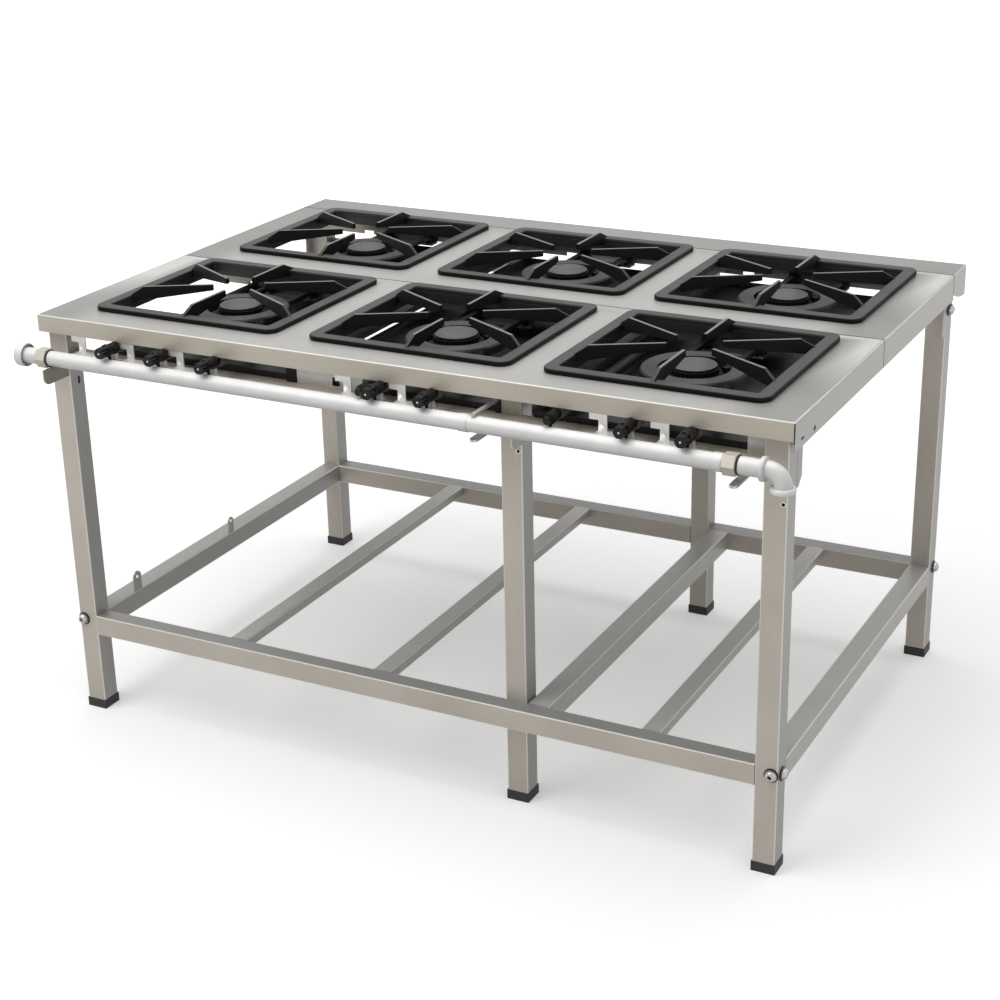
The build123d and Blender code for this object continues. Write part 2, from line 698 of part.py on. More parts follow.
def finger(angle):
    """Upright finger of a grate, from its tip over the middle to the flange."""
    inner = finger_reach(angle)
    middle = angle % 180 == 90
    knee = inner - (MIDDLE_KNEE if middle else CORNER_KNEE)
    landing = inner + (MIDDLE_LANDING if middle else CORNER_LANDING)
    flange_top = TABLE_HEIGHT + FLANGE_THICK
    top = flange_top + FINGER_RISE
    root = inner + (FLANGE_WIDTH - SKIRT_INSET) / 2
    points = [
        (FINGER_TIP_RADIUS, top - FINGER_TIP_DEPTH),
        (FINGER_TIP_RADIUS, top),
        (knee, top),
        (landing, flange_top),
        (landing, flange_top - FINGER_SINK),
        (root, flange_top - FINGER_SINK),
        (root, top - FINGER_ROOT_DEPTH),
    ]
    plan = make_face(Polyline(*points, close=True))
    web = Pos(0, FINGER_THICK / 2, 0) * extrude(Plane.XZ * plan, FINGER_THICK)
    ridge = web.edges().group_by(Axis.Z)[-1].filter_by(Axis.X)
    return Rot(0, 0, angle) * chamfer(ridge, FINGER_BEVEL)


def grate(centre):
    """Cast grate: flange, skirt and six fingers."""
    top = TABLE_HEIGHT + FLANGE_THICK
    skirt_width = GRATE_WIDTH - 2 * SKIRT_INSET
    skirt_depth = GRATE_DEPTH - 2 * SKIRT_INSET
    inner_width = GRATE_WIDTH - 2 * FLANGE_WIDTH
    inner_depth = GRATE_DEPTH - 2 * FLANGE_WIDTH
    low = TABLE_HEIGHT - SKIRT_BELOW
    flange = rounded_slab(GRATE_WIDTH, GRATE_DEPTH, GRATE_CORNER, (TABLE_HEIGHT, top), (0, 0))
    rim = flange.faces().sort_by(Axis.Z)[-1].edges()
    body = fillet(rim, FLANGE_THICK / 3)
    body += rounded_slab(skirt_width, skirt_depth, SKIRT_CORNER, (low, TABLE_HEIGHT), (0, 0))
    body -= rounded_slab(inner_width, inner_depth, SKIRT_CORNER / 2, (low - OVERCUT, top + OVERCUT), (0, 0))
    angles = [90, 270] + [base + sign * FINGER_SPREAD for base in (0, 180) for sign in (-1, 1)]
    for angle in angles:
        body += finger(angle)
    return [Pos(centre[0], centre[1], 0) * body]


def head_slots():
    """Flame slots around the burner head's rim, as one cutting tool."""
    slot = block(
        (HEAD / 2 - SLOT_REACH, HEAD / 2 + SLOT_REACH),
        (-SLOT_WIDTH / 2, SLOT_WIDTH / 2),
        (HEAD_TOP - SLOT_DEPTH, HEAD_TOP + SLOT_DEPTH),
    )
    return [Rot(0, 0, 360 / HEAD_SLOTS * index) * slot for index in range(HEAD_SLOTS)]


def burner_core():
    """Outer ring, slotted head, hub and the spokes between them."""
    ring = rod_z(RING_OUTER / 2, 0, 0, (RING_BOTTOM, RING_TOP))
    upper = ring.edges().filter_by(GeomType.CIRCLE).sort_by(Axis.Z)[-1]
    core = chamfer(upper, RING_CHAMFER)
    core -= rod_z(RING_INNER / 2, 0, 0, (RING_BOTTOM - OVERCUT, RING_TOP + OVERCUT))
    core += rod_z(HEAD / 2, 0, 0, (RING_BOTTOM, HEAD_TOP))
    core += rod_z(HUB / 2, 0, 0, (TABLE_HEIGHT - HUB_BOTTOM_DROP, RING_BOTTOM))
    spoke = block(
        (HEAD / 2 - SLOT_REACH, RING_MIDDLE_RADIUS),
        (-SPOKE_WIDTH / 2, SPOKE_WIDTH / 2),
        (RING_BOTTOM, RING_BOTTOM + SPOKE_HEIGHT),
    )
    for index in range(SPOKES):
        core += Rot(0, 0, 360 / SPOKES * (index + 0.5)) * spoke
    core -= head_slots()
    return core - rod_z(HEAD_BORE / 2, 0, 0, (HEAD_TOP - HEAD_BORE_DEPTH, HEAD_TOP + OVERCUT))


def burner_arm(side, reach):
    """Arm from the ring along Y to a conical foot on a hanger's ledge."""
    x = side * ARM_SPREAD
    toward = 1 if reach > 0 else -1
    start = toward * sqrt(RING_MIDDLE_RADIUS**2 - ARM_SPREAD**2)
    arm = block(
        (x - ARM_WIDTH / 2, x + ARM_WIDTH / 2),
        (min(start, reach), max(start, reach)),
        (RING_BOTTOM, RING_BOTTOM + ARM_HEIGHT),
    )
    height = RING_BOTTOM + ARM_HEIGHT - LEDGE_TOP
    cone = Pos(x, reach, LEDGE_TOP + height / 2) * Cone(CONE_BOTTOM / 2, CONE_TOP / 2, height)
    return arm + cone


def mixer(points, outer):
    """Round tube swept along bent runs, and its bore as a second solid."""
    path = FilletPolyline(*points, radius=MIXER_BEND)
    section = Plane(path @ 0, z_dir=path % 0)
    return sweep(section * Circle(outer / 2), path=path), sweep(section * Circle(MIXER_BORE / 2), path=path)


def mouth(x, z):
    """Flared mouth of a mixing tube, and its bore."""
    y = (MOUTH_SETBACK, MOUTH_SETBACK + MOUTH_LENGTH)
    flare = rod_y(MOUTH / 2, x, y, z)
    return flare, rod_y(MIXER_BORE / 2, x, (y[0] - OVERCUT, y[1]), z)


def straight_mixer(x, z, end):
    """Straight mixing tube of a front hub, and its bore."""
    tube = rod_y(MIXER / 2, x, (MOUTH_SETBACK, end), z)
    bore = rod_y(MIXER_BORE / 2, x, (MOUTH_SETBACK - OVERCUT, end - HUB / 2), z)
    return tube, bore


def burner_front(column):
    """Front burner with its hub and ring mixing tubes and two rear feet."""
    cx, cy = COLUMNS[column], ROWS[0]
    body = Pos(cx, cy, 0) * (burner_core() + [burner_arm(side, REAR_FOOT_REACH) for side in (-1, 1)])
    hub_x = cx + HUB_TAPS[column]
    ring_x = cx + RING_TAPS[column]
    boss = (cx + RING_BOSS_OFFSET[0], cy + RING_BOSS_OFFSET[1])
    tubes = [straight_mixer(hub_x, TAP_Z, cy)]
    points = [(ring_x, MOUTH_SETBACK, TAP_Z), (ring_x, RING_FEED_TURN, TAP_Z), (boss[0], boss[1], TAP_Z)]
    tubes.append(mixer(points, MIXER))
    tubes += [mouth(hub_x, TAP_Z), mouth(ring_x, TAP_Z)]
    body += rod_z(RING_BOSS / 2, boss[0], boss[1], (TAP_Z - MIXER / 2, RING_BOTTOM + ARM_HEIGHT))
    body += [tube for tube, _ in tubes]
    return [body - [bore for _, bore in tubes]]


def burner_rear(column):
    """Rear burner with one long mixing tube and four feet."""
    cx, cy = COLUMNS[column], ROWS[1]
    tap_x, tap_z = REAR_FEEDS[column]
    run_x = REAR_RUN_X[column]
    reaches = (REAR_FOOT_REACH, -FRONT_FOOT_REACH)
    arms = [burner_arm(side, reach) for side in (-1, 1) for reach in reaches]
    body = Pos(cx, cy, 0) * (burner_core() + arms)
    points = [
        (tap_x, MOUTH_SETBACK, tap_z),
        (tap_x, MOUTH_SETBACK + MOUTH_LENGTH, tap_z),
        (run_x, REAR_MIXER_TURN, REAR_MIXER_Z),
        (run_x, REAR_MIXER_STRAIGHT, REAR_MIXER_Z),
        (cx, cy, REAR_MIXER_Z),
    ]
    path = FilletPolyline(*points, radius=REAR_MIXER_BEND)
    tube = sweep(Plane(path @ 0, z_dir=path % 0) * Circle(REAR_MIXER / 2), path=path)
    flare, bore = mouth(tap_x, tap_z)
    if tap_z == TAP_Z:
        tube += flare
    return [body + tube - bore]


def cap(column, row):
    """Loose burner cap with a spigot in the head's bore."""
    z = (HEAD_TOP, HEAD_TOP + CAP_THICK)
    disc = rod_z(CAP / 2, 0, 0, z)
    upper = disc.edges().filter_by(GeomType.CIRCLE).sort_by(Axis.Z)[-1]
    disc = chamfer(upper, CAP_CROWN)
    spigot = rod_z(HEAD_BORE / 2 - CAP_CLEARANCE, 0, 0, (HEAD_TOP - CAP_SPIGOT_DEPTH, HEAD_TOP))
    return [Pos(COLUMNS[column], ROWS[row], 0) * (disc + spigot)]


def hanger(x, wall, toward, ledge_top):
    """Angle hung from the table: an upright wall and a ledge turned to one side."""
    low = ledge_top - HANGER_THICK
    far = wall + toward * HANGER_THICK
    upright = block(x, (min(wall, far), max(wall, far)), (low, UNDERSIDE))
    tip = wall + toward * HANGER_LEDGE
    return upright + block(x, (min(wall, tip), max(wall, tip)), (low, ledge_top))


def mixer_notch(x):
    """Opening in a hanger's wall over a front mixing tube."""
    half = MIXER / 2 + MIXER_NOTCH
    wall = ROWS[0] - HANGER_FRONT_REACH
    y = (wall - HANGER_THICK, wall + 2 * HANGER_THICK)
    return block((x - half, x + half), y, (FRONT_LEDGE_TOP, TAP_Z + half))


def hangers():
    """Twelve hangers, two for each burner."""
    solids = []
    foot_half = ARM_SPREAD + HANGER_OVERHANG
    for column, cx in enumerate(COLUMNS):
        hub_x = cx + HUB_TAPS[column]
        ring_x = cx + RING_TAPS[column]
        tube_span = (hub_x - HANGER_OVERHANG, ring_x + HANGER_OVERHANG)
        foot_span = (cx - foot_half, cx + foot_half)
        tube_hanger = hanger(tube_span, ROWS[0] - HANGER_FRONT_REACH, 1, FRONT_LEDGE_TOP)
        solids.append(tube_hanger - [mixer_notch(x) for x in (hub_x, ring_x)])
        solids.append(hanger(foot_span, ROWS[0] + HANGER_REAR_REACH, -1, LEDGE_TOP))
        solids.append(hanger(foot_span, ROWS[1] - HANGER_FRONT_REACH, 1, LEDGE_TOP))
        solids.append(hanger(foot_span, ROWS[1] + HANGER_REAR_REACH, -1, LEDGE_TOP))
    return solids


def tap(x, z, reach):
    """Tap body with neck, nozzle and spindle."""
    body = rod_y(TAP_BODY / 2, x, (TAP_FRONT, TAP_BACK), z)
    body += rod_z(TAP_NECK / 2, x, TAP_NECK_Y, (PIPE_Z + TAP_NECK_DEPTH, z))
    body += rod_y(NOZZLE / 2, x, (TAP_BACK, MOUTH_SETBACK + NOZZLE_REACH), z)
    return body + rod_y(SPINDLE / 2, x, (TAP_FRONT - reach, TAP_FRONT), z)


def taps():
    """Nine taps on the gas rail."""
    main = [tap(x, TAP_Z, SPINDLE_REACH) for x in MAIN_TAP_X]
    return main + [tap(x, SIDE_TAP_Z, SIDE_SPINDLE_REACH) for x in SIDE_TAP_X]


def spindle_bore(x, z, reach):
    """Blind bore of a knob over its spindle."""
    return rod_y(SPINDLE / 2 + SPINDLE_FIT, x, (TAP_FRONT - reach - SPINDLE_SLACK, TAP_FRONT), z)


def knob(x):
    """Fluted knob with a wider skirt at its back."""
    rear = TAP_FRONT - KNOB_GAP
    front = rear - KNOB_LENGTH
    neck = rear - KNOB_FLANGE
    grip = rod_y(KNOB_FRONT / 2, x, (front, neck), TAP_Z)
    face = grip.edges().filter_by(GeomType.CIRCLE).sort_by(Axis.Y)[0]
    grip = chamfer(face, KNOB_EDGE)
    reach = KNOB_FRONT / 2 + KNOB_FLUTE / 2 - KNOB_FLUTE_DEPTH
    for index in range(KNOB_FLUTES):
        angle = radians(360 / KNOB_FLUTES * (index + 0.5))
        place = (x + reach * cos(angle), TAP_Z + reach * sin(angle))
        grip -= rod_y(KNOB_FLUTE / 2, place[0], (front - OVERCUT, neck), place[1])
    body = grip + rod_y(KNOB_REAR / 2, x, (neck, rear), TAP_Z)
    return [body - spindle_bore(x, TAP_Z, SPINDLE_REACH)]


def side_knob(x):
    """Small plain knob of a set-back tap."""
    rear = TAP_FRONT - SIDE_KNOB_GAP
    body = rod_y(SIDE_KNOB / 2, x, (rear - SIDE_KNOB_LENGTH, rear), SIDE_TAP_Z)
    face = body.edges().filter_by(GeomType.CIRCLE).sort_by(Axis.Y)[0]
    return chamfer(face, KNOB_EDGE) - spindle_bore(x, SIDE_TAP_Z, SIDE_SPINDLE_REACH)


def step_bracket(tap_x, offset):
    """Stepped plate behind the apron, with a foot and a saddle under its tap."""
    centre = tap_x + offset
    right = centre + STEP_BAR / 2
    plane = (SHEET, SHEET + STEP_THICK)
    low = TABLE_HEIGHT - STEP_BOTTOM_DROP
    arm_low = TABLE_HEIGHT - STEP_ARM_DROP
    plate = block((right - STEP_ARM, right), plane, (arm_low, TABLE_HEIGHT - FOLD_RADIUS))
    plate += block((right - STEP_BAR, right), plane, (low, arm_low))
    tip = tap_x + SADDLE_WIDTH / 2
    plate += block((right - STEP_BAR, tip), (SADDLE_FRONT, plane[1]), (low, low + STEP_THICK))
    saddle_top = TAP_Z - TAP_BODY / 2 - SADDLE_CLEARANCE
    saddle = block((tap_x - SADDLE_WIDTH / 2, tip), (SADDLE_FRONT, SADDLE_BACK), (low, saddle_top))
    return plate + saddle


def filler_plate(x):
    """Upright plate on the front rail between two places along X."""
    y = FRONT_LEG_Y + RAIL_DEPTH
    return block(x, (y - FILLER_THICK, y), (UPPER_RAIL_TOP, TABLE_HEIGHT - FILLER_TOP_DROP))


def filler_plates():
    """Plate with a square hole between two columns, and one beside the right tray."""
    left = COLUMNS[0] + GRATE_WIDTH / 2 + FILLER_START
    hole_x = left + FILLER_HOLE_PLACE[0]
    hole_z = UPPER_RAIL_TOP + FILLER_HOLE_PLACE[1]
    half = FILLER_HOLE / 2
    through = (FRONT_LEG_Y, INNER_LEG_Y + OVERCUT)
    hole = block((hole_x - half, hole_x + half), through, (hole_z - half, hole_z + half))
    tray_right = tray_left(2) + TRAY_WIDTH
    return [filler_plate((left, left + FILLER_WIDTH)) - hole, filler_plate((tray_right, RIGHT_LEG))]


def tap_brackets():
    """Seven stepped brackets and the two filler plates."""
    return [step_bracket(x, offset) for x, offset in zip(MAIN_TAP_X, STEP_OFFSETS)] + filler_plates()


def gas_pipe():
    """Gas rail with its sleeve and the necks' holes."""
    start = UNION_START + UNION_SOCKET
    end = RIGHT_UNION + UNION_SOCKET
    pipe = rod_x(PIPE / 2, (start, end), PIPE_Y, PIPE_Z)
    sleeve = (INNER_LEG - SLEEVE_OFFSET, INNER_LEG - SLEEVE_OFFSET + SLEEVE_WIDTH)
    pipe += rod_x(SLEEVE / 2, sleeve, PIPE_Y, PIPE_Z)
    pipe -= rod_x(PIPE / 2 - PIPE_WALL, (start - OVERCUT, end + OVERCUT), PIPE_Y, PIPE_Z)
    radius = TAP_NECK / 2 + JOINT_FIT
    top = (PIPE_Z, PIPE_Z + PIPE)
    return [pipe - [rod_z(radius, x, TAP_NECK_Y, top) for x in MAIN_TAP_X + SIDE_TAP_X]]


def hex_union(start):
    """Hexagon union with a turned end, along X from a start, a corner to the front."""
    hexagon = RegularPolygon(UNION_FLATS / 2, 6, major_radius=False, rotation=UNION_TURN)
    body = Pos(start, PIPE_Y, PIPE_Z) * extrude(Plane.YZ * hexagon, UNION_LENGTH)
    end = start + UNION_LENGTH
    span = (end - UNION_GROOVE, end)
    neck = rod_x(UNION_FLATS / 2 - UNION_GROOVE_DEPTH, span, PIPE_Y, PIPE_Z)
    return body - (rod_x(UNION_FLATS, span, PIPE_Y, PIPE_Z) - neck)


def left_fittings():
    """End cap, stub and union at the pipe's closed end."""
    socket = UNION_START + UNION_SOCKET
    cap_end = END_CAP_LENGTH - END_CAP_OVERHANG
    stub_start = END_CAP_FLOOR - END_CAP_OVERHANG
    stub = rod_x(STUB / 2, (stub_start, socket), PIPE_Y, PIPE_Z)
    stub -= rod_x(STUB / 2 - STUB_WALL, (stub_start - OVERCUT, socket + OVERCUT), PIPE_Y, PIPE_Z)
    end = rod_x(END_CAP / 2, (-END_CAP_OVERHANG, cap_end), PIPE_Y, PIPE_Z)
    end -= rod_x(STUB / 2 + JOINT_FIT, (stub_start, cap_end + OVERCUT), PIPE_Y, PIPE_Z)
    union = hex_union(UNION_START)
    union -= rod_x(STUB / 2 + JOINT_FIT, (UNION_START - OVERCUT, socket), PIPE_Y, PIPE_Z)
    union -= rod_x(PIPE / 2 + JOINT_FIT, (socket, UNION_START + UNION_LENGTH + OVERCUT), PIPE_Y, PIPE_Z)
    return [end, stub, union]


def right_fittings():
    """Collar, union and stub before the elbow."""
    socket = RIGHT_UNION + UNION_SOCKET
    collar = rod_x(COLLAR / 2, (RIGHT_UNION - COLLAR_LENGTH, RIGHT_UNION), PIPE_Y, PIPE_Z)
    union = collar + hex_union(RIGHT_UNION)
    union -= rod_x(PIPE / 2 + JOINT_FIT, (RIGHT_UNION - COLLAR_LENGTH - OVERCUT, socket), PIPE_Y, PIPE_Z)
    union -= rod_x(STUB / 2 + JOINT_FIT, (socket, RIGHT_UNION + UNION_LENGTH + OVERCUT), PIPE_Y, PIPE_Z)
    stub_end = ELBOW_START + ELBOW_SOCKET
    stub = rod_x(STUB / 2, (socket, stub_end), PIPE_Y, PIPE_Z)
    stub -= rod_x(STUB / 2 - STUB_WALL, (socket - OVERCUT, stub_end + OVERCUT), PIPE_Y, PIPE_Z)
    return [union, stub]


def elbow():
    """Elbow that turns down to the open gas inlet."""
    bottom = TABLE_HEIGHT - ELBOW_BOTTOM_DROP
    path = FilletPolyline(
        (ELBOW_START, PIPE_Y, PIPE_Z),
        (ELBOW_X, PIPE_Y, PIPE_Z),
        (ELBOW_X, PIPE_Y, bottom),
        radius=ELBOW_BEND,
    )
    section = Plane(path @ 0, z_dir=(1, 0, 0))
    body = sweep(section * Circle(ELBOW / 2), path=path)
    body += rod_x(ELBOW_BEAD / 2, (ELBOW_START, ELBOW_START + ELBOW_BEAD_LENGTH), PIPE_Y, PIPE_Z)
    body += rod_z(INLET_BEAD / 2, ELBOW_X, PIPE_Y, (bottom, bottom + INLET_BEAD_LENGTH))
    body -= rod_x(STUB / 2 + JOINT_FIT, (ELBOW_START - OVERCUT, ELBOW_START + ELBOW_SOCKET), PIPE_Y, PIPE_Z)
    return [body - rod_z(INLET_BORE / 2, ELBOW_X, PIPE_Y, (bottom - OVERCUT, bottom + INLET_DEPTH))]


def carrier(x, front, y_back, z):
    """Upright plate along Y with a round lower front corner."""
    plate = block((x, x + CARRIER_THICK), (front, y_back), z)
    lower = plate.edges().filter_by(Axis.X).group_by(Axis.Z)[0].sort_by(Axis.Y)[0]
    return fillet(lower, CARRIER_RADIUS)


def lower_arm(x, reach):
    """Flat bar under the front rail, round and pierced at its front end."""
    top = UPPER_RAIL_TOP - UPPER_RAIL_HEIGHT
    z = (top - LOWER_ARM_THICK, top)
    half = LOWER_ARM_WIDTH / 2
    tip = half - reach
    arm = block((x - half, x + half), (tip, FRONT_LEG_Y + RAIL_DEPTH), z) + rod_z(half, x, tip, z)
    return arm - rod_z(LOWER_ARM_HOLE / 2, x, tip, (z[0] - OVERCUT, z[1] + OVERCUT))


def rail_carriers():
    """Plates and arms that carry the gas rail."""
    hex_low = PIPE_Z - UNION_FLATS / 2 - CARRIER_CLEARANCE
    left_x = LEFT_LEG + LEG - CARRIER_THICK - CARRIER_INSET
    inner_x = INNER_LEG + LEG
    rail_low = UPPER_RAIL_TOP - UPPER_RAIL_HEIGHT
    left = carrier(left_x, -CARRIER_FRONT, FRONT_LEG_Y, (hex_low - LEFT_CARRIER_HEIGHT, hex_low))
    inner_z = (rail_low - CARRIER_HEIGHT, rail_low)
    inner = carrier(inner_x, INNER_CARRIER_FRONT, INNER_CARRIER_BACK, inner_z)
    arms = [
        lower_arm(INNER_LEG - SLEEVE_OFFSET + SLEEVE_WIDTH, LOWER_ARM_FRONTS[0]),
        lower_arm(RIGHT_UNION + UNION_LENGTH / 2 + LOWER_ARM_SHIFT, LOWER_ARM_FRONTS[1]),
    ]
    low = PIPE_Z + SLEEVE / 2 + CARRIER_CLEARANCE
    span = (INNER_LEG - UPPER_ARM_WIDTH, INNER_LEG)
    upper = block(span, (-UPPER_ARM_FRONT, UPPER_ARM_BACK), (low, low + UPPER_ARM_THICK))
    return [left, inner] + arms + [upper]


def tray_left(column):
    """Left end of a tray, counted from its grate's left edge."""
    return COLUMNS[column] - GRATE_WIDTH / 2 + TRAY_STARTS[column]


def tray(column):
    """Shallow pan on the upper rails, with slightly flared walls."""
    left = tray_left(column)
    y = (FRONT_LEG_Y + RAIL_DEPTH + TRAY_FRONT_GAP, TABLE_DEPTH - TRAY_BACK)
    low = UPPER_RAIL_TOP + TRAY_SEAT
    middle = (left + TRAY_WIDTH / 2, (y[0] + y[1]) / 2)
    depth = y[1] - y[0]
    outer = pan_solid(middle, TRAY_WIDTH, depth, (low, low + TRAY_HEIGHT))
    inner = pan_solid(
        middle,
        TRAY_WIDTH - 2 * TRAY_SHEET,
        depth - 2 * TRAY_SHEET,
        (low + TRAY_SHEET, low + TRAY_HEIGHT),
    )
    return [outer - inner]


def pan_solid(middle, width, depth, z):
    """Block that narrows evenly towards its floor."""
    floor = Plane((middle[0], middle[1], z[0])) * Rectangle(width - 2 * TRAY_FLARE, depth - 2 * TRAY_FLARE)
    mouth_face = Plane((middle[0], middle[1], z[1])) * Rectangle(width, depth)
    return loft([floor, mouth_face])


def all_nodes():
    """Every sub-part's solids by node name, in the table frame."""
    nodes = {
        "sheet_front": sheet_front(),
        "sheet_middle": sheet_middle(),
        "sheet_rear": sheet_rear(),
        "leg_front_left": leg_front_left(),
        "leg_front_inner": leg_front_inner(),
        "leg_front_right": leg_front_right(),
        "leg_rear_left": [leg_tube(LEFT_LEG, REAR_LEG_Y)],
        "leg_rear_inner": [leg_tube(INNER_LEG, REAR_LEG_Y)],
        "leg_rear_right": [leg_tube(RIGHT_LEG, REAR_LEG_Y)],
        "feet": feet(),
        "lower_rail_front": [front_rail(LOWER_RAIL_TOP, RAIL_HEIGHT)],
        "lower_rail_rear": rear_rail(LOWER_RAIL_TOP, RAIL_HEIGHT),
        "lower_rail_left": [side_rail(LEFT_LEG)],
        "lower_rail_right": [side_rail(RIGHT_LEG)],
        "lower_cross_tube": [cross_tube()],
        "lower_slats": slats(),
        "rail_lugs": lugs(),
        "upper_rail_front": [upper_front_rail()],
        "upper_rail_rear": rear_rail(UPPER_RAIL_TOP, UPPER_RAIL_HEIGHT),
        "upper_cross_rails": cross_rails(),
        "corner_gussets": gussets(),
        "frame_bolts": bolts(),
        "burner_hangers": hangers(),
        "taps": taps(),
        "tap_brackets": tap_brackets(),
        "gas_pipe": gas_pipe(),
        "pipe_fittings": left_fittings() + right_fittings(),
        "gas_elbow": elbow(),
        "rail_carriers": rail_carriers(),
    }
    for column, side in enumerate(COLUMN_NAMES):
        nodes[f"burner_front_{side}"] = burner_front(column)
        nodes[f"burner_rear_{side}"] = burner_rear(column)
        nodes[f"drip_tray_{side}"] = tray(column)
        for row, place in enumerate(ROW_NAMES):
            nodes[f"burner_cap_{place}_{side}"] = cap(column, row)
            nodes[f"grate_{place}_{side}"] = grate((COLUMNS[column], ROWS[row]))
    for index, x in enumerate(MAIN_TAP_X):
        nodes[f"knob_{index + 1}"] = knob(x)
    for index, x in enumerate(SIDE_TAP_X):
        nodes[f"side_knob_{index + 1}"] = [side_knob(x)]
    return nodes


def write_nodes(nodes):
    """Move every node to the footprint's middle and write its STEP file."""
    solids_of = {
        name: [solid for shape in shapes for solid in shape.solids()]
        for name, shapes in nodes.items()
    }
    bounds = Compound(children=[solid for solids in solids_of.values() for solid in solids]).bounding_box()
    shift = Pos(-(bounds.min.X + bounds.max.X) / 2, -(bounds.min.Y + bounds.max.Y) / 2, -bounds.min.Z)
    print("shift", shift.position, "size", bounds.size)
    os.makedirs("parts", exist_ok=True)
    for name, solids in solids_of.items():
        export_step(Compound([shift * solid for solid in solids]), f"parts/{name}.step")


write_nodes(all_nodes())
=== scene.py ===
"""Studio scene of a free-standing six-burner gas stove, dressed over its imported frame."""

import json
import logging
from dataclasses import dataclass
from enum import Enum
from math import cos, pi, radians, sin
from typing import Callable, Iterator, Sequence

import bmesh
import bpy
from mathutils import Matrix, Vector


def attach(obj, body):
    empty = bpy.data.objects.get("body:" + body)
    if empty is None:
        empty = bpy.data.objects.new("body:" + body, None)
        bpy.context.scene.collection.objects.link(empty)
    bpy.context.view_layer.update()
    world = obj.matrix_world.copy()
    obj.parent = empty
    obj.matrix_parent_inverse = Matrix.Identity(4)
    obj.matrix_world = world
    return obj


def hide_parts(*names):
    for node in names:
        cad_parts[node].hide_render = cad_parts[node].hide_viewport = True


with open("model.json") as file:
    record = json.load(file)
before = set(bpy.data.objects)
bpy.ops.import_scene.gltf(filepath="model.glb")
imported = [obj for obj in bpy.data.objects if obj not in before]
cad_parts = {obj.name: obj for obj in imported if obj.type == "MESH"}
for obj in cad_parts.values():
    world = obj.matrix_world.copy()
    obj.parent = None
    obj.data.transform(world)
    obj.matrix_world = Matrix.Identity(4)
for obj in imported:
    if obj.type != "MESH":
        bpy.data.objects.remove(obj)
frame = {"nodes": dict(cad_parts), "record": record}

LOG = logging.getLogger("stove")
MM = 0.001
SHIFT = (-718.0, -462.0)
COLUMNS = {"left": 275.0, "middle": 731.0, "right": 1180.0}
ROWS = {"front": 245.0, "rear": 701.0}
Colour = tuple[float, float, float]
Point = tuple[float, float, float]
Pair = tuple[float, float]
Steps = Sequence[Pair]
Piece = bpy.types.Object
Material = bpy.types.Material
Socket = bpy.types.NodeSocket
Tree = bpy.types.NodeTree


def at(x: float, y: float, z: float) -> Point:
    """Turns a place in the table's millimetres into the scene's metres."""
    return ((x + SHIFT[0]) * MM, (y + SHIFT[1]) * MM, z * MM)


def grey(value: float) -> Colour:
    """Neutral colour of one value."""
    return (value, value, value)


def burner_places() -> Iterator[tuple[str, float, float]]:
    """Goes through the six burners.

    Returns:
        Each burner's row and column as a name, and its place on the table.
    """
    for row, y in ROWS.items():
        for side, x in COLUMNS.items():
            yield f"{row}_{side}", x, y


class GrainAxis(Enum):
    """Direction of a brushed grain, as scales of the object's own axes."""

    ALONG_X = (2.0, 90.0, 90.0)
    ALONG_Y = (90.0, 2.0, 90.0)
    ALONG_Z = (90.0, 90.0, 2.0)


